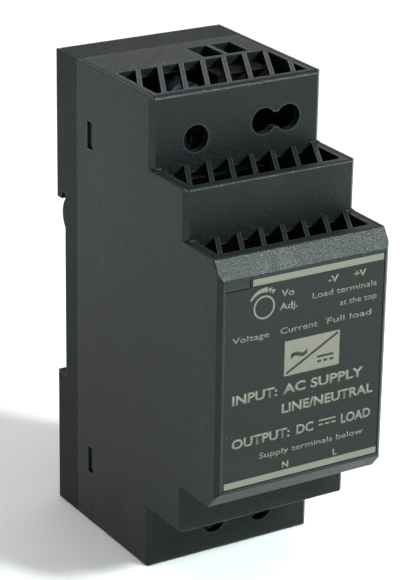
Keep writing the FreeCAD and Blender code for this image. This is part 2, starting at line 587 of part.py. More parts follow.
def rail_latch():
    """Slider that hooks under the rail and is pulled down with a screwdriver."""
    neck = LATCH_WIDTH / 2
    shoulder = neck + LATCH_FLANGE - LATCH_PLAY
    top = SLOT_FOOT - 0.2
    slider = block((-neck, neck), (LATCH_SET_BACK, LATCH_DEPTH), (LATCH_BOTTOM, top))
    flanges = block((-shoulder, shoulder), (LATCH_FLANGE_DEPTH, LATCH_DEPTH),
                    (LATCH_BOTTOM + LATCH_FLANGE_FOOT, top - LATCH_FLANGE_HEAD))
    nose_top = RAIL_FOOT + LIP_OVERLAP
    root = top - PAST
    nose = plate([(LATCH_SET_BACK, root), (LATCH_SET_BACK, nose_top - LATCH_NOSE_CHAMFER),
                  (LIP_DEPTH - LATCH_NOSE_TIP, nose_top), (LIP_DEPTH, nose_top), (LIP_DEPTH, root)],
                 (-neck, neck))
    body = slider.fuse([flanges, nose])
    spring_room = SPRING_RADIUS + SPRING_SIDE_ROOM
    window = block((-spring_room, spring_room), (LATCH_SET_BACK + SPRING_COVER, LATCH_DEPTH + PAST),
                   (SPRING_STOP_Z - CLEAR, SPRING_STOP_Z + SPRING_STOP + SPRING_LENGTH))
    pull_foot = LATCH_BOTTOM + LATCH_PULL_RISE
    pull = block((-neck / 2, neck / 2), (LATCH_SET_BACK - PAST, LATCH_DEPTH + PAST),
                 (pull_foot, pull_foot + LATCH_PULL_SLOT))
    return body.cut([window, pull]).removeSplitter()


def latch_spring():
    """Helical compression spring between the base's stop and the latch."""
    pitch = (SPRING_LENGTH - SPRING_WIRE) / SPRING_TURNS
    coil_radius = SPRING_RADIUS - SPRING_WIRE / 2
    helix = Part.makeHelix(pitch, pitch * SPRING_TURNS, coil_radius)
    section = Part.Wire(Part.makeCircle(SPRING_WIRE / 2, Vector(coil_radius, 0, 0), Vector(0, 1, 0)))
    coil = Part.Wire(helix).makePipeShell([section], True, True)
    middle = (LATCH_SET_BACK + SPRING_COVER + CLEAR + LATCH_DEPTH) / 2
    coil.translate(at(0, middle, SPRING_STOP_Z + SPRING_STOP + SPRING_WIRE / 2))
    return coil


# ---- Front panel --------------------------------------------------------------------------------
def front_label():
    """Panel plate set into the recess, notched for the window."""
    left, right = -HALF + LABEL_RIM + LABEL_GAP, HALF - LABEL_RIM - LABEL_GAP
    low, high = PANEL_FOOT_Z + LABEL_END_GAP + LABEL_GAP, PANEL_TOP_Z - LABEL_END_GAP - LABEL_GAP
    depth = (DEPTH - LABEL_RECESS, DEPTH - LABEL_RECESS + LABEL_THICKNESS)
    panel = block((left, right), depth, (low, high))
    notch = block((left - PAST, left + WINDOW_WIDTH + WINDOW_GAP), (depth[0] - PAST, depth[1] + PAST),
                  (high - WINDOW_HEIGHT - WINDOW_GAP, high + PAST))
    return panel.cut(notch)


def light_guide():
    """Window in the label's corner with a stem back to the light."""
    left, high = -HALF + LABEL_RIM + LABEL_GAP, PANEL_TOP_Z - LABEL_END_GAP - LABEL_GAP
    pane = block((left, left + WINDOW_WIDTH), (DEPTH - LABEL_RECESS, DEPTH - LABEL_RECESS + LABEL_THICKNESS),
                 (high - WINDOW_HEIGHT, high))
    stem_left = -HALF + LABEL_RIM + WINDOW_GAP + LABEL_GAP
    stem = block((stem_left, stem_left + LIGHT_GUIDE_WIDTH),
                 (DEPTH - LABEL_RECESS - WALL - LIGHT_GUIDE_STEM, DEPTH - LABEL_RECESS + SINK),
                 (LED_Z - LED_SIZE / 2, LED_Z + LED_SIZE / 2))
    return joined([pane, stem])


# ---- Boards -------------------------------------------------------------------------------------
def main_board():
    """Board across the case, notched for the snap tongues and drilled for every lead."""
    edge = INNER - BOARD_EDGE
    board = block((-edge, edge), (BOARD_BACK, BOARD_FACE), (WALL + BOARD_EDGE, HEIGHT - WALL - BOARD_EDGE))
    cuts = []
    for z in SNAP_Z:
        for side in (-1, 1):
            near = INNER - FIT - SNAP_TONGUE - FIT
            x = (near, HALF) if side > 0 else (-HALF, -near)
            cuts.append(block(x, (BOARD_BACK - PAST, BOARD_FACE + PAST),
                              (z - SNAP_LENGTH / 2 - FIT, z + SNAP_LENGTH / 2 + FIT)))
    for x, z, radius in leads:
        cuts.append(peg(x, z, (BOARD_BACK - PAST, BOARD_FACE + PAST), radius + LEAD_HOLE))
    return board.cut(cuts)


def daughter_outline():
    """Stepped outline of the upright board as (depth, z) points."""
    start = BOARD_FACE + GAP
    back = WALL + DAUGHTER_GAP
    shoulder, ledge = SHOULDER_DEPTH - back, LEDGE_DEPTH - back
    front = DEPTH - NOSE_BEVEL_RUN - back
    under_nose = NOSE_TOP_Z - VENT_RIB_HEIGHT - GAP
    under_ledge = UPPER_LEDGE_Z - VENT_RIB_HEIGHT - GAP
    top = HEIGHT - WALL - VENT_RIB_HEIGHT
    return [(start, DAUGHTER_LOW_Z), (front, DAUGHTER_LOW_Z), (front, under_nose), (ledge, under_nose),
            (ledge, under_ledge), (shoulder, under_ledge), (shoulder, top), (start, top)]


def daughter_board():
    """Upright control board, standing on the main board along the left wall."""
    board = plate(daughter_outline(), (DAUGHTER_FACE - BOARD, DAUGHTER_FACE))
    pins = [lead(DAUGHTER_FACE - BOARD / 2, DAUGHTER_LOW_Z + HEADER_RISE + HEADER_PITCH * i,
                 BOARD_FACE + GAP + SINK) for i in range(HEADER_PINS)]
    return joined([board] + pins)


def insulation_sheet():
    """Film between the solder side and the floor of the base."""
    start = FLOOR_DEPTH + INSULATION_RISE
    film = (start, start + INSULATION)
    sheet = block((-INNER + INSULATION_SIDE, INNER - INSULATION_SIDE), film,
                  (WALL + INSULATION_END, HEIGHT - WALL - INSULATION_END))
    holes = [peg(x, z, (film[0] - PAST, film[1] + PAST), POST_RADIUS + FIT)
             for x in (-INNER + POST_INSET, INNER - POST_INSET) for z in (POST_INSET, HEIGHT - POST_INSET)]
    return sheet.cut(holes)


# ---- Screw terminals ----------------------------------------------------------------------------
def terminal_set(label, names, xs, z, outward):
    """Terminal block with its cages, screws and contact bars.  outward is +1 up or -1 down."""
    outer = HEIGHT - WALL - FIT if outward > 0 else WALL + FIT
    inner = outer - outward * BLOCK_LENGTH
    low, high = min(outer, inner), max(outer, inner)
    front = BOARD_FACE + BLOCK_DEPTH
    left, right = xs[0] - PITCH / 2 - BLOCK_SKIN, xs[1] + PITCH / 2 + BLOCK_SKIN
    body = block((left, right), (BOARD_FACE, front), (low, high))
    cuts, bars = [], []
    for name, x in zip(names, xs):
        wide = CAGE_WIDTH / 2 + CAGE_PLAY
        cuts.append(block((x - wide, x + wide), (CAGE_START - CAGE_PLAY, WEB_START),
                          (z - CAGE_LENGTH / 2 - CAGE_PLAY, z + CAGE_LENGTH / 2 + CAGE_PLAY)))
        cuts.append(peg(x, z, (WEB_START - SINK, front + PAST), SCREW_RADIUS + CLEAR))
        cuts.append(peg(x, z, (HEAD_SEAT, front + PAST), SCREW_HEAD_RADIUS + HEAD_PLAY))
        mouth = (z, outer + PAST) if outward > 0 else (outer - PAST, z)
        cuts.append(block((x - WIRE_WIDTH / 2, x + WIRE_WIDTH / 2),
                          (CAGE_START + CAGE_WALL, BAR_FACE - BAR_THICKNESS), mouth))
        bar_end = z - outward * (CAGE_LENGTH / 2 + BAR_OVERHANG)
        bar_tip = z + outward * (CAGE_LENGTH / 2 + CLEAR)
        bar = block((x - BAR_WIDTH / 2, x + BAR_WIDTH / 2), (BAR_FACE - BAR_THICKNESS, BAR_FACE),
                    span(bar_end, bar_tip))
        drop = block((x - BAR_WIDTH / 2, x + BAR_WIDTH / 2), (BOARD_FACE + BAR_STAND_OFF, BAR_FACE),
                     (bar_end - BAR_THICKNESS / 2, bar_end + BAR_THICKNESS / 2))
        bars.append(joined([bar, drop, lead(x, bar_end, BOARD_FACE + BAR_STAND_OFF + SINK)]))
        room = FIT / 2
        cuts.append(block((x - BAR_WIDTH / 2 - room, x + BAR_WIDTH / 2 + room),
                          (BOARD_FACE - PAST, BAR_FACE + room),
                          (bar_end - BAR_THICKNESS / 2 - room, bar_end + BAR_THICKNESS / 2 + room)))
        cuts.append(block((x - BAR_WIDTH / 2 - room, x + BAR_WIDTH / 2 + room),
                          (BAR_FACE - BAR_THICKNESS - room, BAR_FACE + room),
                          (min(bar_end, bar_tip) - room, max(bar_end, bar_tip) + room)))
        keep("%s_cage_%s" % (label, name), terminal_cage(x, z))
        keep("%s_screw_%s" % (label, name), terminal_screw(x, z))
    keep("%s_terminal_block" % label, body.cut(cuts))
    keep("%s_contact_bars" % label, *bars)


def terminal_cage(x, z):
    """Rising cage that pulls the wire against the contact bar."""
    half = CAGE_WIDTH / 2
    body = block((x - half, x + half), (CAGE_START, CAGE_ROOF), (z - CAGE_LENGTH / 2, z + CAGE_LENGTH / 2))
    window = block((x - half + CAGE_WALL, x + half - CAGE_WALL),
                   (CAGE_START + CAGE_WALL, CAGE_ROOF - CAGE_NUT), (z - CAGE_LENGTH, z + CAGE_LENGTH))
    thread = peg(x, z, (CAGE_ROOF - CAGE_NUT - PAST, CAGE_ROOF + PAST), SCREW_RADIUS + SCREW_PLAY)
    return body.cut([window, thread])


def terminal_screw(x, z):
    """Combination-drive terminal screw, its tip just clear of the contact bar."""
    tip = BAR_FACE + CAGE_PLAY
    shank = peg(x, z, (tip, HEAD_SEAT + SINK), SCREW_RADIUS)
    head_start = HEAD_SEAT + HEAD_PLAY
    head = peg(x, z, (head_start, head_start + SCREW_HEAD), SCREW_HEAD_RADIUS)
    top = head_start + SCREW_HEAD
    body = joined([shank, head])
    cut = (top - SCREW_SLOT_DEPTH, top + PAST)
    half, cross = SCREW_SLOT / 2, SCREW_CROSS / 2
    slots = [block((x - SCREW_HEAD_RADIUS - PAST, x + SCREW_HEAD_RADIUS + PAST), cut, (z - half, z + half)),
             block((x - half, x + half), cut, (z - cross, z + cross))]
    return body.cut(slots)


# ---- Trimmer ------------------------------------------------------------------------------------
def trimmer():
    """Square trimmer on the upright board, its slotted rotor behind the shoulder hole."""
    front = SHOULDER_DEPTH - WALL - TRIMMER_SET_BACK
    left = DAUGHTER_FACE + CHIP_GAP
    right = 2 * TRIMMER_X - left
    half = TRIMMER_BODY / 2
    body = block((left, right), (front - TRIMMER_BODY_DEPTH, front), (TRIMMER_Z - half, TRIMMER_Z + half))
    pit = peg(TRIMMER_X, TRIMMER_Z, (front - ROTOR_LENGTH, front + PAST), ROTOR_RADIUS + ROTOR_PLAY)
    keep("trimmer_body", body.cut(pit))
    back = front - ROTOR_LENGTH + ROTOR_PLAY
    rotor = peg(TRIMMER_X, TRIMMER_Z, (back, front + ROTOR_PROUD), ROTOR_RADIUS)
    half, cross_half = ROTOR_SLOT / 2, ROTOR_CROSS / 2
    cut = (front - ROTOR_SLOT_DEPTH, front + PAST)
    slot = block((TRIMMER_X - half, TRIMMER_X + half), cut,
                 (TRIMMER_Z - ROTOR_RADIUS - PAST, TRIMMER_Z + ROTOR_RADIUS + PAST))
    cross = block((TRIMMER_X - cross_half, TRIMMER_X + cross_half), cut,
                  (TRIMMER_Z - half, TRIMMER_Z + half))
    keep("trimmer_rotor", rotor.cut([slot, cross]))


# ---- Components ---------------------------------------------------------------------------------
def capacitor(name, x, z, radius, height, spacing):
    """Radial electrolytic: sleeved can with a crimp and a scored top."""
    top = PART_BACK + height
    can = peg(x, z, (PART_BACK, top), radius)
    rims = [e for e in can.Edges if abs(e.CenterOfMass.y - (REAR_Y - top)) < 0.01]
    can = can.makeFillet(CAN_EDGE_RADIUS, rims[:1])
    crimp_start = PART_BACK + CRIMP_RISE
    crimp = (crimp_start, crimp_start + CRIMP_WIDTH)
    crimp = peg(x, z, crimp, radius + PAST).cut(peg(x, z, crimp, radius - CRIMP_DEPTH))
    half, arm, cut = SCORE_WIDTH / 2, radius / 2, (top - SCORE_DEPTH, top + PAST)
    arms = [block((x - arm, x + arm), cut, (z - half, z + half)),
            block((x - half, x + half), cut, (z - arm, z + arm))]
    can = can.cut([crimp] + arms)
    pins = [lead(x + side * spacing / 2, z, PART_BACK + SINK) for side in (-1, 1)]
    keep(name, joined([can] + pins))


def slab(name, x, z, size, spacing, radius=0.5):
    """Box-shaped part with rounded outer edges and two leads.  size is (x, height, z)."""
    body = block((x - size[0] / 2, x + size[0] / 2), (PART_BACK, PART_BACK + size[1]),
                 (z - size[2] / 2, z + size[2] / 2))
    back = REAR_Y - PART_BACK
    rims = [e for e in body.Edges if not all(abs(v.Point.y - back) < 0.01 for v in e.Vertexes)]
    body = body.makeFillet(radius, rims)
    pins = [lead(x + side * spacing / 2, z, PART_BACK + SINK) for side in (-1, 1)]
    keep(name, joined([body] + pins))


def disc(name, x, z, radius, thickness, spacing):
    """Disc part standing on two leads, its axis upright."""
    middle = PART_BACK + DISC_RISE + radius
    body = Part.makeCylinder(radius, thickness, at(x, middle, z - thickness / 2), Vector(0, 0, 1))
    body = body.makeFillet(thickness * DISC_ROUND, [e for e in body.Edges if len(e.Vertexes) == 1])
    pins = [lead(x + side * spacing / 2, z, middle) for side in (-1, 1)]
    keep(name, joined([body] + pins))


def transformer(x, z):
    """Two ferrite halves on a bobbin with a winding, insulating tape and two pin rails."""
    back = PART_BACK + CORE_RISE
    front = back + CORE_THICKNESS
    half_x, half_z = CORE_WIDTH / 2, CORE_LENGTH / 2
    bar = CORE_SIDE_LEG
    window_x = half_x - CORE_SIDE_LEG
    leg = CORE_LEG / 2
    for name, side in (("upper", 1), ("lower", -1)):
        near, far = z + side * GAP / 4, z + side * half_z
        low, high = min(near, far), max(near, far)
        body = block((x - half_x, x + half_x), (back, front), (low, high))
        stop = z + side * (half_z - bar)
        w_low, w_high = min(near - side, stop), max(near - side, stop)
        rooms = [block((x + leg, x + window_x), (back - PAST, front + PAST), (w_low, w_high)),
                 block((x - window_x, x - leg), (back - PAST, front + PAST), (w_low, w_high))]
        keep("transformer_core_%s" % name, body.cut(rooms))
    middle = (back + front) / 2
    tube = leg + GAP + BOBBIN_WALL
    reach = half_z - bar - GAP
    body = block((x - tube, x + tube), (middle - tube, middle + tube), (z - reach, z + reach))
    flange_x = window_x - GAP
    parts = [body]
    for side in (-1, 1):
        start, end = z + side * (reach - BOBBIN_WALL), z + side * reach
        parts.append(block((x - flange_x, x + flange_x), (middle - BOBBIN_REACH, middle + BOBBIN_REACH),
                           (min(start, end), max(start, end))))
        foot = z + side * half_z
        parts.append(block((x - flange_x, x + flange_x), (PART_BACK, back - GAP),
                           (min(start, foot), max(start, foot))))
    bore = block((x - leg - GAP, x + leg + GAP), (middle - leg - GAP, middle + leg + GAP),
                 (z - half_z, z + half_z))
    body = joined(parts).cut(bore)
    pins = [lead(x + BOBBIN_PITCH * (i - (BOBBIN_PINS - 1) / 2), z + side * (half_z - BOBBIN_PIN_INSET),
                 PART_BACK + SINK) for side in (-1, 1) for i in range(BOBBIN_PINS)]
    keep("transformer_bobbin", joined([body] + pins))
    wind_z = reach - BOBBIN_WALL - GAP
    wind_x = flange_x - WINDING_INSET / 2
    wind_d = BOBBIN_REACH - WINDING_INSET
    hole = block((x - tube - GAP, x + tube + GAP), (middle - tube - GAP, middle + tube + GAP),
                 (z - half_z, z + half_z))
    coil = block((x - wind_x, x + wind_x), (middle - wind_d, middle + wind_d), (z - wind_z, z + wind_z))

    def rounded(shape, radius):
        """Shape with its upright edges rounded."""
        edges = [e for e in shape.Edges if abs(e.Vertexes[0].Z - e.Vertexes[1].Z) > TAPE_INSET]
        return shape.makeFillet(radius, edges)

    def sleeve(grow, reach_z):
        """Box around the winding, larger by grow."""
        half, deep = wind_x + grow, wind_d + grow
        return block((x - half, x + half), (middle - deep, middle + deep), (z - reach_z, z + reach_z))

    keep("transformer_winding", rounded(coil, WINDING_RADIUS).cut(hole))
    wrap = rounded(sleeve(TAPE_GAP + TAPE, wind_z - TAPE_INSET), WINDING_RADIUS + TAPE)
    keep("transformer_tape", wrap.cut(rounded(sleeve(TAPE_GAP, half_z), WINDING_RADIUS)))


def toroid(prefix, x, z, outer, inner, thickness, wire):
    """Ring choke standing on the board: ferrite core and two wound halves with leads."""
    middle = PART_BACK + wire + CHOKE_RISE + outer
    axis = Vector(0, 0, 1)
    core = Part.makeCylinder(outer, thickness, at(x, middle, z - thickness / 2), axis)
    core = core.cut(Part.makeCylinder(inner, thickness + 2 * PAST,
                                      at(x, middle, z - thickness / 2 - PAST), axis))
    keep(prefix + "_core", core)
    halves = []
    for side in (-1, 1):
        shell = Part.makeCylinder(outer + wire, thickness + 2 * wire,
                                  at(x, middle, z - thickness / 2 - wire), axis)
        shell = shell.cut([Part.makeCylinder(inner - wire, thickness + 4 * wire,
                                             at(x, middle, z - thickness / 2 - 2 * wire), axis)])
        room = Part.makeCylinder(outer + GAP / 2, thickness + GAP,
                                 at(x, middle, z - thickness / 2 - GAP / 2), axis)
        room = room.cut(Part.makeCylinder(inner - GAP / 2, thickness + 2 * PAST,
                                          at(x, middle, z - thickness / 2 - PAST), axis))
        shell = shell.cut(room)
        far = outer + 2 * wire
        part = block(span(x + side * CHOKE_SPLIT, x + side * far), (middle - far, middle + far),
                     (z - thickness, z + thickness))
        half = shell.common(part)
        pins = [lead(x + side * outer * CHOKE_LEAD_X, z + end * (thickness + wire) / 2,
                     middle - outer * CHOKE_LEAD_START) for end in (-1, 1)]
        halves.append(joined([half] + pins))
    keep(prefix + "_windings", *halves)


def drum(name, x, z):
    """Drum-core inductor: two ferrite flanges with a winding between them."""
    foot = PART_BACK + DRUM_RISE
    head = foot + DRUM_HEIGHT
    shape = [peg(x, z, (foot, foot + DRUM_FLANGE), DRUM_RADIUS),
             peg(x, z, (foot, head), DRUM_RADIUS - DRUM_WAIST),
             peg(x, z, (head - DRUM_FLANGE, head), DRUM_RADIUS)]
    pins = [lead(x + side * DRUM_RADIUS * 0.7, z, foot + SINK) for side in (-1, 1)]
    keep(name, joined(shape + pins))


def power_stage(prefix, x, z, facing):
    """Flat power device clamped to a folded aluminium plate by a screw and a nut.

    The joint between device and plate lies at z, and the device is on the side given by facing.
    """
    foot = PART_BACK + DEVICE_RISE
    shoulder = foot + DEVICE_LENGTH * DEVICE_BODY_SHARE
    hole_depth = foot + DEVICE_LENGTH * (1 + DEVICE_BODY_SHARE) / 2
    up = Vector(0, 0, 1)
    width = (x - DEVICE_WIDTH / 2, x + DEVICE_WIDTH / 2)
    body = block(width, (foot, shoulder), span(z, z + facing * DEVICE_BODY))
    tab = block(width, (shoulder - SINK, foot + DEVICE_LENGTH), span(z, z + facing * DEVICE_TAB))
    hole = Part.makeCylinder(CLAMP_RADIUS + FIT, 2 * DEVICE_BODY, at(x, hole_depth, z - DEVICE_BODY), up)
    pins = [lead(x + i * DEVICE_PITCH, z + facing * DEVICE_BODY / 2, foot + SINK) for i in (-1, 0, 1)]
    keep(prefix, joined([body, tab.cut(hole)] + pins))

    near, far = z - facing * GAP / 2, z - facing * (GAP / 2 + SINK_THICKNESS)
    half = SINK_WIDTH / 2
    depth = (PART_BACK, PART_BACK + SINK_HEIGHT)
    fin = block((x - half, x + half), depth, span(near, far))
    fold = block((x - half, x - half + SINK_THICKNESS), depth, span(near, far - facing * SINK_FOLD))
    pegs = [lead(x + side * half * SINK_PEG_SHARE, (near + far) / 2, PART_BACK + SINK, SINK_PEG_RADIUS)
            for side in (-1, 1)]
    keep(prefix + "_heat_sink", joined([fin, fold] + pegs).cut(hole))

    seat = z + facing * (DEVICE_TAB + GAP / 3)
    end = far - facing * (CLAMP_NUT + SINK)
    shank = Part.makeCylinder(CLAMP_RADIUS, abs(seat - end), at(x, hole_depth, min(seat, end)), up)
    crown = seat + facing * CLAMP_HEAD
    cap = Part.makeCylinder(CLAMP_HEAD_RADIUS, CLAMP_HEAD, at(x, hole_depth, min(seat, crown)), up)
    slot = block((x - 2 * CLAMP_HEAD_RADIUS, x + 2 * CLAMP_HEAD_RADIUS),
                 (hole_depth - CLAMP_SLOT / 2, hole_depth + CLAMP_SLOT / 2),
                 span(crown - facing * CLAMP_SLOT, crown + facing * PAST))
    keep(prefix + "_clamp_screw", joined([shank, cap]).cut(slot))

    face = far - facing * GAP / 3
    corner = CLAMP_HEAD_RADIUS * CLAMP_NUT_CORNER
    turns = [math.radians(60 * i) for i in range(7)]
    corners = [at(x + corner * math.cos(a), hole_depth + corner * math.sin(a),
                  min(face, face - facing * CLAMP_NUT)) for a in turns]
    nut = Part.Face(Part.makePolygon(corners)).extrude(Vector(0, 0, CLAMP_NUT))
    bore = Part.makeCylinder(CLAMP_RADIUS + CLAMP_PLAY, 4 * CLAMP_NUT,
                             at(x, hole_depth, face - 2 * CLAMP_NUT), up)
    keep(prefix + "_clamp_nut", nut.cut(bore))


def board_chips():
    """Surface parts on the upright board: controller, optocoupler, small resistors and the light."""
    face = DAUGHTER_FACE + CHIP_GAP

    def chip(depth, size, legs):
        """Moulded body with bent legs on both sides.  size is (x, depth, z)."""
        z = HEIGHT - CHIP_DROP
        body = block((face + LEG_THICKNESS / 2, face + size[0]), (depth - size[1] / 2, depth + size[1] / 2),
                     (z - size[2] / 2, z + size[2] / 2))
        feet = []
        for i in range(legs):
            step = z + (i - (legs - 1) / 2) * LEG_PITCH
            for side in (-1, 1):
                edge = depth + side * size[1] / 2
                foot = span(edge - side * SINK, edge + side * LEG_REACH)
                feet.append(block((face, face + LEG_THICKNESS), foot,
                                  (step - LEG_WIDTH / 2, step + LEG_WIDTH / 2)))
        return joined([body] + feet)

    keep("control_ic", chip(CONTROL_IC_DEPTH, CONTROL_IC_SIZE, 4))
    keep("optocoupler", chip(OPTOCOUPLER_DEPTH, OPTOCOUPLER_SIZE, 2))
    size = RESISTOR_SIZE
    resistors = []
    for row in range(RESISTOR_ROWS):
        for column in range(RESISTOR_COLUMNS):
            depth = RESISTOR_DEPTH + RESISTOR_COLUMN_STEP * column
            z = HEIGHT - RESISTOR_DROP - RESISTOR_ROW_STEP * row
            resistors.append(block((face, face + size[0]), (depth, depth + size[1]), (z, z + size[2])))
    keep("chip_resistors", *resistors)
    back = DAUGHTER_FACE - BOARD - CHIP_GAP
    front = DEPTH - LABEL_RECESS - WALL - LIGHT_GUIDE_STEM - FIT
    stem_middle = -HALF + LABEL_RIM + WINDOW_GAP + LABEL_GAP + LIGHT_GUIDE_WIDTH / 2
    keep("status_led", block((stem_middle - LED_SIZE / 2, back), (front - LED_LENGTH, front),
                             (LED_Z - LED_SIZE / 2, LED_Z + LED_SIZE / 2)))


def components():
    """Everything soldered to the main board, placed from the wall, terminal or board end beside it."""
    slab("fuse", INPUT_LEFT - FUSE_GAP - FUSE_SIZE[0] / 2, 7.6, FUSE_SIZE, 5.08)
    disc("varistor", 3.8, 16.0, 4.2, 3.4, 5.08)
    disc("inrush_thermistor", 11.2, 16.0, 2.9, 3.4, 2.54)
    toroid("emi_choke", -7.4, 19.0, 5.6, 3.0, 4.6, 1.0)
    nubs = INNER - STOP_SIZE
    slab("x_capacitor", nubs - X_CAPACITOR_GAP - X_CAPACITOR_SIZE[0] / 2, 21.6, X_CAPACITOR_SIZE, 10.16)
    slab("bridge_rectifier", 7.8, 27.0, (14.4, 10.6, 3.5), 11.43, 0.4)
    disc("y_capacitor", 7.8, 31.0, 3.4, 2.6, 5.08)
    capacitor("bulk_capacitor", 7.4, 40.6, BULK_RADIUS, BULK_HEIGHT, 7.5)
    power_stage("switching_transistor", -HALF + DEVICE_EDGE, 30.0, -1)
    power_stage("output_rectifier", -HALF + DEVICE_EDGE, 44.6, 1)
    transformer(2.9, CAN_ROW_Z - CAN_RADIUS - GAP - CORE_LENGTH / 2)
    capacitor("output_capacitor_a", -3.3, HEIGHT - 7.2, BIG_CAN_RADIUS, BIG_CAN_HEIGHT, 5.0)
    capacitor("output_capacitor_b", -6.4, CAN_ROW_Z, CAN_RADIUS, CAN_HEIGHT, 3.5)
    capacitor("output_capacitor_c", HALF - CAN_EDGE, CAN_ROW_Z, CAN_RADIUS, CAN_HEIGHT, 3.5)
    tongue = INNER - FIT - SNAP_TONGUE
    drum("output_inductor", tongue - DRUM_GAP - DRUM_RADIUS, CAN_ROW_Z)


def main():
    os.makedirs("parts", exist_ok=True)
    keep("front_housing", front_housing())
    keep("rear_base", rear_base())
    keep("rail_latch", rail_latch())
    keep("latch_spring", latch_spring())
    keep("front_label", front_label())
    keep("light_guide", light_guide())
    terminal_set("output", ("left", "right"), OUTPUT_X, OUTPUT_Z, 1)
    terminal_set("input", ("left", "right"), INPUT_X, INPUT_Z, -1)
    trimmer()
    keep("control_board", daughter_board())
    board_chips()
    components()
    keep("insulation_sheet", insulation_sheet())
    keep("main_board", main_board())
    for name, shape in nodes.items():
        shape.exportStep("parts/%s.step" % name)
        print(name, len(shape.Solids), round(shape.Volume, 2), shape.isValid())


main()
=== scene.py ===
"""Looks of the two-module DIN rail power supply.

Finishes for every part of the frame, the printed marks of the front label, the latch spring, the wound
wire of the choke, transformer and inductor, and a plain pale studio stage.

Metres, in the frame's own axes: +X to the right, -Y to the front, +Z up.
"""
import json
import math

import bpy
from mathutils import Matrix, Vector


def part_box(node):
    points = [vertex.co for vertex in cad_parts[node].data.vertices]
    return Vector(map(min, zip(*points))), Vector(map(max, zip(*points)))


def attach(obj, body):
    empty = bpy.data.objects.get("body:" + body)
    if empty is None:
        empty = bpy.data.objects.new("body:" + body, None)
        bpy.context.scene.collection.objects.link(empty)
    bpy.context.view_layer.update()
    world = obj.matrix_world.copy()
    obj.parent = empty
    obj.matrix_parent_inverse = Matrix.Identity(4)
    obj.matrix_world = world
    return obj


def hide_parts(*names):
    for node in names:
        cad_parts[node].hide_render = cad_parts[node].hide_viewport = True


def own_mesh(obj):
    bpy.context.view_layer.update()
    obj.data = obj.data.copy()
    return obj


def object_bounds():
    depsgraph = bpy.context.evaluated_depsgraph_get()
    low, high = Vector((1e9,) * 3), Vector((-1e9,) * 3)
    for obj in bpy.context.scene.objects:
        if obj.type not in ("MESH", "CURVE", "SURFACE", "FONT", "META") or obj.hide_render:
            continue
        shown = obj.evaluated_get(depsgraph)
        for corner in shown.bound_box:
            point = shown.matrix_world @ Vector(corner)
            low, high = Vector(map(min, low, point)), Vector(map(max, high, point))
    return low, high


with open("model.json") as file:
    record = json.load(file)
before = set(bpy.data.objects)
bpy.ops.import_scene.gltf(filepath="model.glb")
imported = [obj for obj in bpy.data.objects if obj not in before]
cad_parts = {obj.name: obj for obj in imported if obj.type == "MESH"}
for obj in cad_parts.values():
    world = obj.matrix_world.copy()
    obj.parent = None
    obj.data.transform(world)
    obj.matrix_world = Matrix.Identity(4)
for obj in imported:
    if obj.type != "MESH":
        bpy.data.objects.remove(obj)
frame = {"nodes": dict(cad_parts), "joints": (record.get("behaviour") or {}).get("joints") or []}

bl_info = {
    "name": "DIN rail power supply",
    "version": (1, 0, 0),
    "blender": (4, 5, 0),
    "location": "3D View > Sidebar > Supply",
    "description": "Finishes, label print, wound wire, latch spring and stage of a DIN rail power supply",
    "category": "Object",
}

MM = 0.001
CAD_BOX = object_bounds()
LABEL_LOW, LABEL_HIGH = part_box("front_label")
SPRING_LOW, SPRING_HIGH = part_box("latch_spring")
CORE_LOW, CORE_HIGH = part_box("emi_choke_core")
CHOKE_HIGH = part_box("emi_choke_windings")[1]
COIL_LOW, COIL_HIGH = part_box("transformer_winding")
DRUM_LOW, DRUM_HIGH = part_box("output_inductor")

CAPACITORS = ("bulk_capacitor", "output_capacitor_a", "output_capacitor_b", "output_capacitor_c")
SCREWS = tuple("%s_screw_%s" % (end, side) for end in ("output", "input") for side in ("left", "right"))
CAGES = tuple("%s_cage_%s" % (end, side) for end in ("output", "input") for side in ("left", "right"))
POWER_DEVICES = ("switching_transistor", "output_rectifier")


# ---- Settings -------------------------------------------------------------------------------------
def colour_setting(name, description, default):
    return bpy.props.FloatVectorProperty(name=name, description=description, default=default,
                                         subtype="COLOR", size=3, min=0.0, max=1.0)


def length_setting(name, description, default):
    return bpy.props.FloatProperty(name=name, description=description, default=default,
                                   subtype="DISTANCE", unit="LENGTH", min=0.0, precision=6)


def share_setting(name, description, default):
    return bpy.props.FloatProperty(name=name, description=description, default=default,
                                   subtype="FACTOR", min=0.0, max=1.0)


def strength_setting(name, description, default, unit="NONE"):
    return bpy.props.FloatProperty(name=name, description=description, default=default, min=0.0, unit=unit)


class SupplyCaseSettings(bpy.types.PropertyGroup):
    """Moulded case."""
    housing: colour_setting("Housing", "Colour of the stepped front housing", (0.0078, 0.0100, 0.0102))
    base: colour_setting("Base", "Colour of the rail foot", (0.0100, 0.0120, 0.0120))
    film: colour_setting("Label film", "Colour of the front label", (0.0106, 0.0126, 0.0114))
    roughness: share_setting("Roughness", "Roughness of the moulded faces", 0.36)
    grain: length_setting("Grain", "Size of the moulded grain", 0.34 * MM)
    grain_depth: length_setting("Grain depth", "Height of the moulded grain", 0.070 * MM)
    # how pale the outward edges are: partly wear, partly a painted highlight along the rims
    edge_wear_and_highlight: share_setting("Edge wear", "How much paler the outward edges are", 0.8)
    dust: share_setting("Dust", "How pale the dust specks are", 0.25)


class SupplyPrintSettings(bpy.types.PropertyGroup):
    """Printed marks of the label."""
    ink: colour_setting("Ink", "Colour of the print", (0.132, 0.124, 0.097))
    thickness: length_setting("Ink thickness", "How far the print stands out of the film", 0.025 * MM)
    large: length_setting("Large letters", "Height of the capitals in the main rows", 1.95 * MM)
    middle: length_setting("Pole letters", "Height of the pole marks and the adjuster's caption", 1.35 * MM)
    small: length_setting("Small letters", "Height of the capitals in the notes", 1.12 * MM)


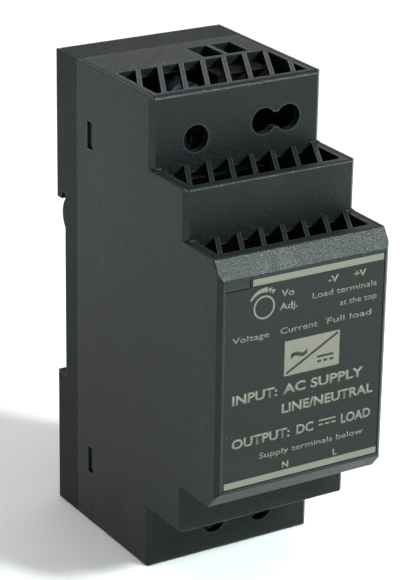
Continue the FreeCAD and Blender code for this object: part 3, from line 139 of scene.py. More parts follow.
class SupplyWireSettings(bpy.types.PropertyGroup):
    """Wound parts."""
    copper: colour_setting("Enamelled copper", "Colour of the winding wire", (0.50, 0.17, 0.065))
    choke_wire: length_setting("Choke wire", "Diameter of the choke's wire", 0.90 * MM)
    coil_wire: length_setting("Transformer wire", "Diameter of the transformer's wire", 0.34 * MM)
    drum_wire: length_setting("Inductor wire", "Diameter of the inductor's wire", 0.62 * MM)
    spring_wire: length_setting("Spring wire", "Diameter of the latch spring's wire", 0.45 * MM)
    choke_turns: bpy.props.IntProperty(name="Choke turns", description="Turns on each half of the choke",
                                       default=8, min=1)
    spring_turns: bpy.props.IntProperty(name="Spring turns", description="Turns of the latch spring",
                                        default=7, min=3)


class SupplyStudioSettings(bpy.types.PropertyGroup):
    """Stage and lights."""
    floor: colour_setting("Floor", "Colour of the floor", (0.90, 0.90, 0.895))
    surroundings: strength_setting("Surroundings", "Strength of the even light", 0.20)
    horizon: strength_setting("Horizon", "Strength of the light from low all round", 0.9)
    overhead: strength_setting("Overhead light", "Power of the overhead light", 11.6, "POWER")
    side: strength_setting("Side light", "Power of the light on the left", 0.22, "POWER")
    glance: strength_setting("Glancing light", "Power of the light on the right", 10.6, "POWER")
    behind: strength_setting("Back light", "Power of the light behind", 0.12, "POWER")
    fill: strength_setting("Fill light", "Power of the light on the rear left", 1.3, "POWER")


SETTINGS = {"supply_case": SupplyCaseSettings, "supply_print": SupplyPrintSettings,
            "supply_wire": SupplyWireSettings, "supply_studio": SupplyStudioSettings}


# ---- Shader nodes as expressions ------------------------------------------------------------------
class Value:
    """One socket of a finish; arithmetic on it adds Math nodes."""

    def __init__(self, finish, socket):
        self.finish = finish
        self.socket = socket

    def math(self, operation, first, second):
        return self.finish.node("ShaderNodeMath", {"operation": operation}, {0: first, 1: second})

    def __add__(self, other):
        return self.math("ADD", self, other)

    __radd__ = __add__

    def __sub__(self, other):
        return self.math("SUBTRACT", self, other)

    def __rsub__(self, other):
        return self.math("SUBTRACT", other, self)

    def __mul__(self, other):
        return self.math("MULTIPLY", self, other)

    __rmul__ = __mul__

    def __pow__(self, other):
        return self.math("POWER", self, other)


class Finish:
    """A procedural material and the patterns that the finishes share."""

    def __init__(self, name):
        self.material = bpy.data.materials.new(name)
        self.material.use_nodes = True
        self.tree = self.material.node_tree
        self.tree.nodes.clear()

    def node(self, kind, settings, values, output=0):
        """Adds a node: its settings first, then the values or links of its sockets."""
        made = self.tree.nodes.new(kind)
        for key, value in settings.items():
            setattr(made, key, value)
        for key, value in values.items():
            if isinstance(value, Value):
                self.tree.links.new(value.socket, made.inputs[key])
            else:
                made.inputs[key].default_value = value
        return Value(self, made.outputs[output])

    def place(self, centre=(0, 0, 0), turn=(0, 0, 0), stretch=(1, 1, 1)):
        """Object coordinates about a centre, turned, with the pattern stretched along each axis."""
        where = self.node("ShaderNodeTexCoord", {}, {}, "Object")
        return self.node("ShaderNodeMapping", {"vector_type": "TEXTURE"},
                         {"Vector": where, "Location": centre, "Rotation": turn, "Scale": stretch})

    def parts(self, vector):
        """The three numbers of a vector."""
        split = self.node("ShaderNodeSeparateXYZ", {}, {"Vector": vector})
        return [Value(self, socket) for socket in split.socket.node.outputs]

    def noise(self, size, where=None, detail=2.0, rough=0.5):
        """Cloudy noise from 0 to 1 with features of that size."""
        return self.node("ShaderNodeTexNoise", {}, {"Vector": where or self.place(), "Scale": 1 / size,
                                                    "Detail": detail, "Roughness": rough})

    def cells(self, size, where=None, settings=None, output="Distance"):
        """Voronoi cells of that size."""
        return self.node("ShaderNodeTexVoronoi", settings or {},
                         {"Vector": where or self.place(), "Scale": 1 / size}, output)

    def step(self, value, low, high):
        """0 below low and 1 above high, with a soft rise."""
        return self.node("ShaderNodeMapRange", {"interpolation_type": "SMOOTHSTEP"},
                         {"Value": value, "From Min": low, "From Max": high})

    def mix(self, factor, first, second, blend="MIX"):
        """Colour mix."""
        return self.node("ShaderNodeMix", {"data_type": "RGBA", "blend_type": blend},
                         {0: factor, 6: first, 7: second}, 2)

    def edges(self, reach):
        """1 along outward edges and 0 on flat faces."""
        open_share = self.node("ShaderNodeAmbientOcclusion",
                               {"inside": True, "only_local": True, "samples": 8},
                               {"Distance": reach}, "AO")
        return self.step(1 - open_share, 0.12, 0.55)

    def hollows(self, reach):
        """1 in corners and grooves and 0 on open faces; the mask of painted shade."""
        open_share = self.node("ShaderNodeAmbientOcclusion", {"samples": 8},
                               {"Distance": reach}, "AO")
        return self.step(1 - open_share, 0.2, 0.8)

    def specks(self, cell, radius):
        """1 in sparse round specks."""
        return 1 - self.step(self.cells(cell), 0.6 * radius / cell, radius / cell)

    def bump(self, height, depth):
        """A normal from a height between 0 and 1."""
        return self.node("ShaderNodeBump", {}, {"Height": height, "Distance": depth, "Strength": 1.0})

    def surface(self, values):
        """Closes the finish with its shader."""
        shader = self.node("ShaderNodeBsdfPrincipled", {}, values)
        output = self.tree.nodes.new("ShaderNodeOutputMaterial")
        self.tree.links.new(shader.socket, output.inputs["Surface"])
        return self.material


class Surroundings(Finish):
    """The even light all round, paler towards the horizon."""

    def __init__(self, name, above, horizon):
        self.world = bpy.data.worlds.new(name)
        self.world.use_nodes = True
        self.tree = self.world.node_tree
        height = self.parts(self.node("ShaderNodeTexCoord", {}, {}, "Generated"))[2]
        strength = horizon + (above - horizon) * self.step(height, 0.08, 0.40)
        shade = self.tree.nodes["Background"]
        shade.inputs["Color"].default_value = (1.0, 1.0, 1.0, 1.0)
        self.tree.links.new(strength.socket, shade.inputs["Strength"])


def paint(colour, share=1.0):
    """A colour as a socket takes it, darkened or lightened by share."""
    return tuple(min(1.0, part * share) for part in colour[:3]) + (1.0,)


# ---- Finishes -------------------------------------------------------------------------------------
def moulded(name, colour, roughness, grain, depth, wear_and_highlight=0.4, dust=0.3, gloss=0.15):
    """Grained injection-moulded plastic with paler edges, partly wear and partly a painted highlight along
    the rims, painted glints on the grain, painted shade in corners and grooves, and a little dust.
    """
    finish = Finish(name)
    fine = finish.noise(grain, detail=4.0, rough=0.65)
    cloud = finish.noise(14 * MM, detail=3.0)
    mottle = finish.noise(0.9 * MM, detail=3.0, rough=0.7)
    painted_grain_glint = finish.step(fine, 0.54, 0.68)
    rubbed = finish.step(finish.noise(7 * MM, finish.place(stretch=(1, 1, 2.5)), 4.0, 0.6), 0.52, 0.75)
    worn_lit_edge = finish.edges(0.55 * MM) * (0.55 + 0.9 * mottle)
    speck = finish.specks(3.1 * MM, 0.13 * MM)
    body = finish.mix(0.3 * cloud + 0.3 * mottle + 0.4 * fine, paint(colour, 0.45), paint(colour, 1.25))
    # painted glints: paler flecks on the grain peaks stand in for light sparkling on the grain
    body = finish.mix(painted_grain_glint * 0.3, body, paint(colour, 3.6))
    # paler outward edges: partly wear, partly a painted highlight along the rims
    body = finish.mix(worn_lit_edge * wear_and_highlight, body, paint(colour, 4.5))
    body = finish.mix(rubbed * 0.18, body, paint(colour, 1.9))
    # painted shade: darker colour in corners and grooves
    body = finish.mix(finish.hollows(1.6 * MM) * 0.45, body, paint(colour, 0.45))
    body = finish.mix(speck * dust, body, paint((0.42, 0.41, 0.38)))
    rough = roughness + 0.75 * (fine - 0.5) + 0.10 * (cloud - 0.5) - 0.07 * rubbed - 0.20 * worn_lit_edge
    return finish.surface({"Base Color": body, "Roughness": rough, "Specular IOR Level": gloss,
                           "Normal": finish.bump(fine + 0.35 * mottle, depth)})


def label_film(name, colour):
    """Satin printed film with fine texture and faint rubbing."""
    finish = Finish(name)
    fine = finish.noise(0.16 * MM, detail=3.0, rough=0.7)
    cloud = finish.noise(9 * MM, detail=4.0)
    streaks = finish.place(turn=(0, 0.5, 0), stretch=(9, 1, 1))
    rub = finish.step(finish.noise(2.2 * MM, streaks, 3.0), 0.6, 0.7)
    speck = finish.specks(2.9 * MM, 0.11 * MM)
    body = finish.mix(cloud, paint(colour, 0.88), paint(colour, 1.13))
    body = finish.mix(finish.edges(0.2 * MM) * 0.5, body, paint(colour, 2.2))
    body = finish.mix(rub * 0.10, body, paint(colour, 1.8))
    body = finish.mix(speck * 0.45, body, paint((0.40, 0.40, 0.36)))
    return finish.surface({"Base Color": body, "Roughness": 0.36 + 0.10 * cloud + 0.05 * rub,
                           "Specular IOR Level": 0.17, "Normal": finish.bump(fine, 0.004 * MM)})


def ink(name, colour):
    """Screen-printed matt ink, a little uneven."""
    finish = Finish(name)
    uneven = finish.noise(0.35 * MM, detail=3.0, rough=0.7)
    cloud = finish.noise(6 * MM)
    thin = finish.step(finish.noise(0.8 * MM, detail=4.0, rough=0.75), 0.60, 0.72)
    body = finish.mix(0.6 * uneven + 0.4 * cloud, paint(colour, 0.84), paint(colour, 1.14))
    body = finish.mix(thin * 0.35, body, paint(colour, 0.6))
    return finish.surface({"Base Color": body, "Roughness": 0.5 + 0.15 * uneven,
                           "Normal": finish.bump(uneven, 0.006 * MM)})


def metal(name, colour, roughness, dull=0.25, stretch=(1, 1, 1), scratch=0.004 * MM):
    """Plain or plated metal with drawn marks, dull patches and brighter edges."""
    finish = Finish(name)
    drawn = finish.noise(0.25 * MM, finish.place(stretch=stretch), 4.0, 0.6)
    patch = finish.step(finish.noise(1.6 * MM, detail=4.0, rough=0.65), 0.42, 0.68)
    body = finish.mix(patch * dull, paint(colour), paint(colour, 0.45))
    body = finish.mix(drawn * 0.25, body, paint(colour, 0.72))
    body = finish.mix(finish.edges(0.2 * MM) * 0.5, body, paint(colour, 1.3))
    return finish.surface({"Base Color": body, "Metallic": 1.0,
                           "Roughness": roughness + 0.22 * patch * dull + 0.12 * (drawn - 0.5),
                           "Normal": finish.bump(drawn, scratch)})


def enamelled(name, colour, wire):
    """Enamelled copper wire: metal under a clear varnish that darkens in patches."""
    finish = Finish(name)
    drawn = finish.noise(wire, detail=4.0, rough=0.6)
    dark = finish.step(finish.noise(2.4 * MM, detail=3.0), 0.45, 0.75)
    body = finish.mix(drawn, paint(colour, 0.78), paint(colour, 1.15))
    body = finish.mix(dark * 0.5, body, paint(colour, 0.5))
    return finish.surface({"Base Color": body, "Metallic": 0.85, "Roughness": 0.26 + 0.14 * dark,
                           "Coat Weight": 0.7, "Coat Roughness": 0.12,
                           "Normal": finish.bump(drawn, 0.003 * MM)})


def ferrite(name):
    """Pressed and sintered ferrite: near black, matt and finely pitted."""
    finish = Finish(name)
    pits = finish.step(finish.cells(0.28 * MM), 0.05, 0.22)
    cloud = finish.noise(3 * MM, detail=4.0)
    body = finish.mix(cloud, (0.012, 0.012, 0.013, 1), (0.035, 0.034, 0.034, 1))
    body = finish.mix(finish.edges(0.3 * MM) * 0.6, body, (0.10, 0.10, 0.10, 1))
    return finish.surface({"Base Color": body, "Roughness": 0.62 + 0.15 * cloud,
                           "Normal": finish.bump(pits, 0.02 * MM)})


def dipped(name, colour):
    """Epoxy dip coating with a gentle orange peel."""
    finish = Finish(name)
    peel = finish.noise(0.7 * MM, detail=2.0)
    cloud = finish.noise(3.5 * MM, detail=3.0)
    body = finish.mix(cloud, paint(colour, 0.8), paint(colour, 1.2))
    body = finish.mix(finish.specks(1.3 * MM, 0.08 * MM) * 0.4, body, paint(colour, 0.4))
    return finish.surface({"Base Color": body, "Roughness": 0.3 + 0.12 * cloud, "Coat Weight": 0.35,
                           "Coat Roughness": 0.15, "Normal": finish.bump(peel, 0.05 * MM)})


def laminate(name, centre):
    """Glass-fibre board under green solder mask: copper areas, fine weave and traces of flux."""
    finish = Finish(name)
    copper = finish.cells(3.4 * MM, finish.place(centre), {"distance": "CHEBYCHEV"}, "Color")
    area = finish.step(finish.node("ShaderNodeSeparateColor", {}, {"Color": copper}), 0.40, 0.42)
    weave = finish.noise(0.5 * MM, finish.place(centre, stretch=(1, 1, 6)), 2.0)
    flux = finish.step(finish.noise(5 * MM, detail=4.0, rough=0.6), 0.55, 0.75)
    body = finish.mix(area, (0.004, 0.022, 0.012, 1), (0.009, 0.045, 0.022, 1))
    body = finish.mix(weave * 0.25, body, (0.02, 0.07, 0.04, 1))
    body = finish.mix(flux * 0.2, body, (0.05, 0.06, 0.03, 1))
    body = finish.mix(finish.edges(0.3 * MM) * 0.5, body, (0.07, 0.07, 0.04, 1))
    return finish.surface({"Base Color": body, "Roughness": 0.3 + 0.2 * weave,
                           "Normal": finish.bump(area + 0.15 * weave, 0.03 * MM)})


def sleeve(name, node, colour, rim=0.9 * MM):
    """Printed shrink sleeve with a pale stripe, open over a brushed aluminium top."""
    low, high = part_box(node)
    centre = ((low[0] + high[0]) / 2, low[1], (low[2] + high[2]) / 2)
    radius = (high[0] - low[0]) / 2
    finish = Finish(name)
    x, y, z = finish.parts(finish.place(centre))
    out = (x * x + z * z) ** 0.5
    top = (1 - finish.step(out, radius - rim, radius - 0.85 * rim)) * (1 - finish.step(y, 1.2 * MM, 1.3 * MM))
    side = finish.step(x, 0.80 * radius, 0.82 * radius)
    dash = finish.step(finish.node("ShaderNodeMath", {"operation": "PINGPONG"},
                                   {0: y, 1: 1.6 * MM}), 1.0 * MM, 1.05 * MM)
    off_middle = finish.node("ShaderNodeMath", {"operation": "ABSOLUTE"}, {0: z})
    strip = side * (1 - dash * (1 - finish.step(off_middle, 0.9 * MM, 0.95 * MM)))
    crinkle = finish.noise(1.2 * MM, finish.place(stretch=(1, 3, 1)), 3.0)
    body = finish.mix(crinkle, paint(colour, 0.8), paint(colour, 1.25))
    body = finish.mix(strip, body, (0.42, 0.45, 0.44, 1))
    brushed = finish.noise(0.3 * MM, finish.place(stretch=(5, 1, 1)), 3.0)
    bare = finish.mix(brushed, (0.55, 0.56, 0.57, 1), (0.78, 0.79, 0.80, 1))
    return finish.surface({"Base Color": finish.mix(top, body, bare), "Metallic": top,
                           "Roughness": 0.36 - 0.06 * top + 0.08 * crinkle, "Coat Weight": 0.25 * (1 - top),
                           "Normal": finish.bump(crinkle, 0.03 * MM)})


def taped(name, colour, low, high):
    """Wound polyester tape: glossy, with lapped edges."""
    finish = Finish(name)
    lap_scale = 0.5 / (high[2] - low[2]) * 3 / math.pi      # about one and a half laps over the height
    wave = finish.node("ShaderNodeTexWave", {"wave_type": "BANDS", "bands_direction": "Z",
                                             "wave_profile": "SAW"},
                       {"Vector": finish.place(low), "Scale": lap_scale,
                        "Distortion": 0.4, "Detail": 1.0})
    crinkle = finish.noise(1.8 * MM, detail=3.0)
    body = finish.mix(crinkle, paint(colour, 0.75), paint(colour, 1.15))
    return finish.surface({"Base Color": body, "Roughness": 0.22 + 0.15 * crinkle, "Coat Weight": 0.4,
                           "Normal": finish.bump(wave + 0.5 * crinkle, 0.06 * MM)})


def clear(name, colour, roughness, through):
    """Tinted clear plastic."""
    finish = Finish(name)
    haze = finish.noise(0.6 * MM, detail=3.0)
    body = finish.mix(haze, paint(colour, 0.85), paint(colour, 1.15))
    return finish.surface({"Base Color": body, "Roughness": roughness + 0.1 * haze,
                           "Transmission Weight": through, "Specular IOR Level": 0.15,
                           "Normal": finish.bump(haze, 0.002 * MM)})


def film_sheet(name):
    """Milky insulating film with handling marks."""
    finish = Finish(name)
    cloud = finish.noise(8 * MM, detail=4.0)
    folds = finish.place(turn=(0, 0.7, 0), stretch=(6, 1, 1))
    crease = finish.step(finish.noise(3 * MM, folds, 2.0), 0.6, 0.66)
    body = finish.mix(cloud, (0.42, 0.40, 0.30, 1), (0.56, 0.54, 0.42, 1))
    body = finish.mix(crease * 0.4, body, (0.7, 0.69, 0.6, 1))
    return finish.surface({"Base Color": body, "Roughness": 0.3 + 0.2 * cloud,
                           "Normal": finish.bump(crease, 0.02 * MM)})


def floor_finish(colour):
    """Plain pale floor with the faintest variation."""
    finish = Finish("stage_floor")
    cloud = finish.noise(0.25, detail=3.0)
    grain = finish.noise(1.5 * MM, detail=2.0)
    body = finish.mix(cloud, paint(colour, 0.985), paint(colour, 1.015))
    return finish.surface({"Base Color": body, "Roughness": 0.75 + 0.1 * grain, "Specular IOR Level": 0.2,
                           "Normal": finish.bump(grain, 0.02 * MM)})


def dress(material, *nodes):
    """Gives parts of the frame their finish."""
    for node in nodes:
        for slot in frame["nodes"][node].material_slots:
            slot.material = material


def finish_named(name, make):
    """The material of that name, made the first time it is asked for."""
    return bpy.data.materials.get(name) or make()


def wire_finish(settings):
    return finish_named("copper_enamel",
                        lambda: enamelled("copper_enamel", settings.copper, settings.choke_wire))


# ---- Modelling helpers ----------------------------------------------------------------------------
def mode(name):
    bpy.ops.object.mode_set(mode=name)


def edit_all():
    """Edit mode, with everything selected."""
    mode("EDIT")
    bpy.ops.mesh.select_all(action="SELECT")


def start():
    """Object mode, with nothing selected."""
    if bpy.context.object and bpy.context.object.mode != "OBJECT":
        mode("OBJECT")
    bpy.ops.object.select_all(action="DESELECT")


def apply_place():
    bpy.ops.object.transform_apply(location=True, rotation=True, scale=True)


def select_only(*objects):
    start()
    for item in objects:
        item.select_set(True)
    bpy.context.view_layer.objects.active = objects[0]


def join(objects):
    """One object from several."""
    select_only(*objects)
    if len(objects) > 1:
        bpy.ops.object.join()
    return bpy.context.object


def add_modifier(kind, **settings):
    """Adds a modifier to the active object and applies it."""
    piece = bpy.context.object
    modifier = piece.modifiers.new(kind.title(), kind)
    for key, value in settings.items():
        setattr(modifier, key, value)
    bpy.ops.object.modifier_apply(modifier=modifier.name)


def pick_faces(test):
    """Edit mode, with the faces that pass the test selected."""
    mode("EDIT")
    bpy.ops.mesh.select_mode(type="FACE")
    bpy.ops.mesh.select_all(action="DESELECT")
    mode("OBJECT")
    for face in bpy.context.object.data.polygons:
        face.select = bool(test(face))
    mode("EDIT")


def outward_normals():
    edit_all()
    bpy.ops.mesh.normals_make_consistent(inside=False)
    mode("OBJECT")


def seat(piece, name, material, body="case"):
    """Names a finished piece, gives it its finish and lets it ride on its body."""
    piece.name = name
    piece.data.name = name
    piece.data.materials.clear()
    piece.data.materials.append(material)
    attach(piece, body)
    return piece


# ---- Label print ----------------------------------------------------------------------------------
SUNK = 0.005 * MM            # print reaches this far into the film
STRIPE_CORNER = 0.12 * MM
STRIPE_EDGE = 0.12 * MM      # film left bare beyond a stripe
STRIPE_DEEP = 1.2 * MM
HEAD_STRIPE_START = 5.38 * MM
FOOT_STRIPE_START = 0.3 * MM
DIAL_PLACE = (7.68 * MM, 32.93 * MM)
DIAL_RADIUS = 2.15 * MM
DIAL_LINE = 0.32 * MM
CAPITAL = 0.729              # height of the font's capitals at size 1
BOLD, REGULAR, LIGHT = 0.030, 0.018, 0.006      # how far the strokes are thickened


def on_label(across, up, lift=0.0):
    """A point of the label, from its lower left corner."""
    return Vector((LABEL_LOW[0] + across, LABEL_LOW[1] + SUNK - lift, LABEL_LOW[2] + up))


def bar(left, right, foot, head, corner=STRIPE_CORNER, lift=0.0):
    """A flat rounded bar of print."""
    start()
    bpy.ops.mesh.primitive_plane_add(size=1, location=on_label((left + right) / 2, (foot + head) / 2, lift),
                                     rotation=(math.pi / 2, 0, 0))
    bpy.context.object.scale = (right - left, head - foot, 1)
    apply_place()
    if corner:
        edit_all()
        bpy.ops.mesh.bevel(offset=corner, segments=3, affect="VERTICES")
        mode("OBJECT")
    return bpy.context.object


def slanted_bar(start_point, end_point, width, lift=0.0):
    """A flat bar between two points of the label."""
    first, last = on_label(*start_point, lift), on_label(*end_point, lift)
    run = last - first
    start()
    bpy.ops.mesh.primitive_plane_add(size=1, location=(first + last) / 2, rotation=(math.pi / 2, 0, 0))
    piece = bpy.context.object
    piece.scale = (run.length, width, 1)
    piece.rotation_euler = (math.pi / 2, -math.atan2(run.z, run.x), 0)
    apply_place()
    return piece


def ring_mark(across, up, radius, width):
    """A flat ring of print."""
    start()
    bpy.ops.mesh.primitive_circle_add(vertices=48, radius=radius, fill_type="NGON",
                                      location=on_label(across, up), rotation=(math.pi / 2, 0, 0))
    apply_place()
    edit_all()
    bpy.ops.mesh.inset(thickness=width)
    bpy.ops.mesh.delete(type="FACE")
    mode("OBJECT")
    return bpy.context.object


def arc_mark(across, up, radius, width, first, last, steps):
    """A flat arc of print whose width grows towards its end; angles from the right, upwards."""
    start()
    centre = on_label(across, up)
    bpy.ops.mesh.primitive_plane_add(size=1, location=centre, rotation=(math.pi / 2, 0, 0))
    piece = bpy.context.object
    apply_place()
    mode("EDIT")
    bpy.ops.mesh.select_mode(type="VERT")
    bpy.ops.mesh.select_all(action="DESELECT")
    mode("OBJECT")
    for vertex in piece.data.vertices:
        vertex.select = vertex.co.x > centre.x
    mode("EDIT")
    bpy.ops.mesh.delete(type="VERT")
    mode("OBJECT")
    direction = Vector((math.cos(first), 0, math.sin(first)))
    for vertex, reach in zip(piece.data.vertices, (radius - width / 2, radius + width / 2)):
        vertex.co = centre + direction * reach
    edit_all()
    bpy.ops.mesh.spin(steps=steps, angle=last - first, center=centre, axis=(0, 1, 0))
    mode("OBJECT")
    for vertex in piece.data.vertices:
        spoke = vertex.co - centre
        along = (first - math.atan2(spoke.z, spoke.x)) / (first - last)
        thick = 0.35 + 0.65 * min(1.0, max(0.0, along))
        vertex.co = centre + spoke.normalized() * (radius + (spoke.length - radius) * thick)
    return piece


def lettering(words, left, foot, width, height, weight=REGULAR, lift=0.0):
    """Words in print, with their capitals' height and the row's width given."""
    start()
    bpy.ops.object.text_add(rotation=(math.pi / 2, 0, 0))
    text = bpy.context.object
    text.data.body = words
    text.data.offset = weight
    text.data.resolution_u = 4
    bpy.ops.object.convert(target="MESH")
    piece = bpy.context.object
    xs = [vertex.co.x for vertex in piece.data.vertices]
    capital = CAPITAL + 2 * weight
    piece.scale = (width / (max(xs) - min(xs)), height / capital, 1)
    piece.location = on_label(left, foot, lift) - Vector((min(xs) * piece.scale.x, 0, 0))
    apply_place()
    return piece


def print_piece(name, marks, material, thickness):
    """Print marks joined, turned to the front and given the ink's thickness."""
    piece = join(marks)
    pick_faces(lambda face: face.normal.y > 0)
    bpy.ops.mesh.flip_normals()
    mode("OBJECT")
    add_modifier("SOLIDIFY", thickness=thickness + SUNK, offset=1.0)
    return seat(piece, name, material)


def ink_finish(settings):
    return finish_named("label_ink", lambda: ink("label_ink", settings.ink))


class SUPPLY_OT_label_stripes(bpy.types.Operator):
    """Prints the two pale stripes at the head and foot of the label"""
    bl_idname = "supply.label_stripes"
    bl_label = "Label stripes"

    def execute(self, context):
        settings = context.scene.supply_print
        width = LABEL_HIGH[0] - LABEL_LOW[0]
        height = LABEL_HIGH[2] - LABEL_LOW[2]
        end, head = width - STRIPE_EDGE, height - STRIPE_EDGE
        stripes = [bar(HEAD_STRIPE_START, end, head - STRIPE_DEEP, head),
                   bar(FOOT_STRIPE_START, end, STRIPE_EDGE, STRIPE_EDGE + STRIPE_DEEP)]
        print_piece("label_stripes", stripes, ink_finish(settings), settings.thickness)
        return {"FINISHED"}


class SUPPLY_OT_dial_mark(bpy.types.Operator):
    """Prints the adjuster's ring, its turning arrow and its caption"""
    bl_idname = "supply.dial_mark"
    bl_label = "Adjuster mark"

    def execute(self, context):
        settings = context.scene.supply_print
        across, up = DIAL_PLACE
        marks = [ring_mark(across, up, DIAL_RADIUS, DIAL_LINE),
                 arc_mark(across, up, 3.15 * MM, 0.95 * MM, math.radians(150), math.radians(78), 16)]
        for middle in (70, 57):
            marks.append(arc_mark(across, up, 3.2 * MM, 1.0 * MM, math.radians(middle + 5),
                                  math.radians(middle - 5), 4))
        marks.append(lettering("Vo", 11.1 * MM, 34.15 * MM, 2.6 * MM, settings.middle))
        marks.append(lettering("Adj.", 10.8 * MM, 31.75 * MM, 3.7 * MM, settings.middle))
        print_piece("label_adjuster_mark", marks, ink_finish(settings), settings.thickness)
        return {"FINISHED"}


class SUPPLY_OT_converter_symbol(bpy.types.Operator):
    """Prints the general symbol of a converter from alternating to direct current"""
    bl_idname = "supply.converter_symbol"
    bl_label = "Converter symbol"

    def execute(self, context):
        prints, case = context.scene.supply_print, context.scene.supply_case
        left, right, foot, head = 12.1 * MM, 23.5 * MM, 19.2 * MM, 25.7 * MM
        print_piece("label_symbol_ground", [bar(left, right, foot, head)], ink_finish(prints),
                    prints.thickness)
        over = prints.thickness
        inset, line = 0.42 * MM, 0.42 * MM
        marks = [slanted_bar((left + inset, foot + inset), (right - inset, head - inset), line, over)]
        marks.append(lettering("~", left + 1.3 * MM, head - 4.2 * MM, 3.4 * MM, 4.0 * MM, BOLD, over))
        bars = right - 4.6 * MM
        marks.append(bar(bars, right - 1.2 * MM, foot + 2.1 * MM, foot + 2.5 * MM, 0, over))
        for dash in range(3):
            near = bars + dash * 1.3 * MM
            marks.append(bar(near, near + 0.8 * MM, foot + 1.2 * MM, foot + 1.6 * MM, 0, over))
        film = finish_named("label_film_satin", lambda: label_film("label_film_satin", case.film))
        print_piece("label_symbol_lines", marks, film, prints.thickness)
        return {"FINISHED"}


class SUPPLY_OT_label_words(bpy.types.Operator):
    """Prints the plain words and pole marks of the label"""
    bl_idname = "supply.label_words"
    bl_label = "Label words"

    def execute(self, context):
        settings = context.scene.supply_print
        large = [("INPUT:", 1.6, 15.9, 9.2), ("AC SUPPLY", 12.0, 15.9, 16.8),
                 ("LINE/NEUTRAL", 11.8, 12.3, 19.2), ("OUTPUT:", 1.7, 7.6, 11.9),
                 ("DC", 15.0, 7.6, 3.6), ("LOAD", 24.4, 7.6, 6.3)]
        middle = [("-V", 20.6, 34.9, 2.2), ("+V", 26.0, 34.9, 2.6),
                  ("N", 12.2, 1.7, 1.35), ("L", 22.9, 1.7, 0.9)]
        small = [("Load terminals", 17.5, 32.6, 13.4), ("at the top", 23.2, 30.2, 7.8),
                 ("Voltage", 1.4, 27.3, 7.4), ("Current", 11.1, 27.3, 7.6), ("Full load", 20.7, 27.3, 9.3),
                 ("Supply terminals below", 7.4, 4.6, 21.8)]
        marks = []
        for rows, height in ((large, settings.large), (middle, settings.middle)):
            for words, left, foot, width in rows:
                marks.append(lettering(words, left * MM, foot * MM, width * MM, height, BOLD))
        direct = 19.7 * MM
        marks.append(bar(direct, direct + 3.6 * MM, 8.95 * MM, 9.25 * MM, 0))
        for dash in range(3):
            near = direct + dash * 1.35 * MM
            marks.append(bar(near, near + 0.9 * MM, 8.15 * MM, 8.45 * MM, 0))
        print_piece("label_words_large", marks, ink_finish(settings), settings.thickness)
        notes = [lettering(words, left * MM, foot * MM, width * MM, settings.small, LIGHT)
                 for words, left, foot, width in small]
        print_piece("label_words_small", notes, ink_finish(settings), settings.thickness)
        return {"FINISHED"}


# ---- Wire -----------------------------------------------------------------------------------------
WELD_GAP = 0.02              # merge distance, in wire diameters
CLOSED_TURN = 1.05           # pitch of the spring's closed turns, in wire diameters
WINDING_LAY = 1.06           # room for one turn, in wire diameters


def coil(radius, wire, pitch, turns, foot):
    """An upright helix of wire about the origin, open at both ends."""
    start()
    bpy.ops.mesh.primitive_circle_add(vertices=10, radius=wire / 2, location=(radius, 0, foot),
                                      rotation=(math.pi / 2, 0, 0))
    apply_place()
    add_modifier("SCREW", angle=math.tau, screw_offset=pitch, iterations=turns, steps=28,
                 render_steps=28, use_merge_vertices=False)
    return bpy.context.object


def weld_and_cap(piece, gap):
    """Merges what touches, closes the open ends and turns the faces outwards."""
    select_only(piece)
    edit_all()
    bpy.ops.mesh.remove_doubles(threshold=gap)
    bpy.ops.mesh.fill_holes(sides=0)
    bpy.ops.mesh.select_all(action="SELECT")
    bpy.ops.mesh.normals_make_consistent(inside=False)
    mode("OBJECT")
    bpy.ops.object.shade_smooth_by_angle(angle=math.radians(40))


def tube(points, wire, closed=False):
    """A smooth wire through a few control points."""
    start()
    bpy.ops.curve.primitive_nurbs_path_add()
    path = bpy.context.object
    path.data.splines.clear()
    spline = path.data.splines.new("NURBS")
    spline.points.add(len(points) - 1)
    for control, point in zip(spline.points, points):
        control.co = (*point, 1.0)
    spline.order_u = 3
    spline.use_endpoint_u = not closed
    spline.use_cyclic_u = closed
    spline.resolution_u = 3
    path.data.bevel_depth = wire / 2
    path.data.bevel_resolution = 1
    path.data.use_fill_caps = not closed
    bpy.ops.object.convert(target="MESH")
    bpy.ops.object.shade_smooth()
    return bpy.context.object


def box_turn(width, height, corner):
    """Control points of one turn round a box, in its own plane."""
    across, up = width / 2, height / 2
    points = []
    for side_x, side_y in ((1, 1), (-1, 1), (-1, -1), (1, -1)):
        runs = [(side_x * across, side_y * (up - corner)), (side_x * across, side_y * up),
                (side_x * (across - corner), side_y * up)]
        points += runs if side_x * side_y > 0 else runs[::-1]
    return points


def copies(piece, matrices):
    """Copies of a piece, each with its own mesh, joined into one."""
    made = []
    for matrix in matrices:
        select_only(piece)
        bpy.ops.object.duplicate(linked=False)
        copy = bpy.context.object
        copy.matrix_world = matrix @ copy.matrix_world
        apply_place()
        made.append(copy)
    bpy.data.objects.remove(piece)
    return join(made)


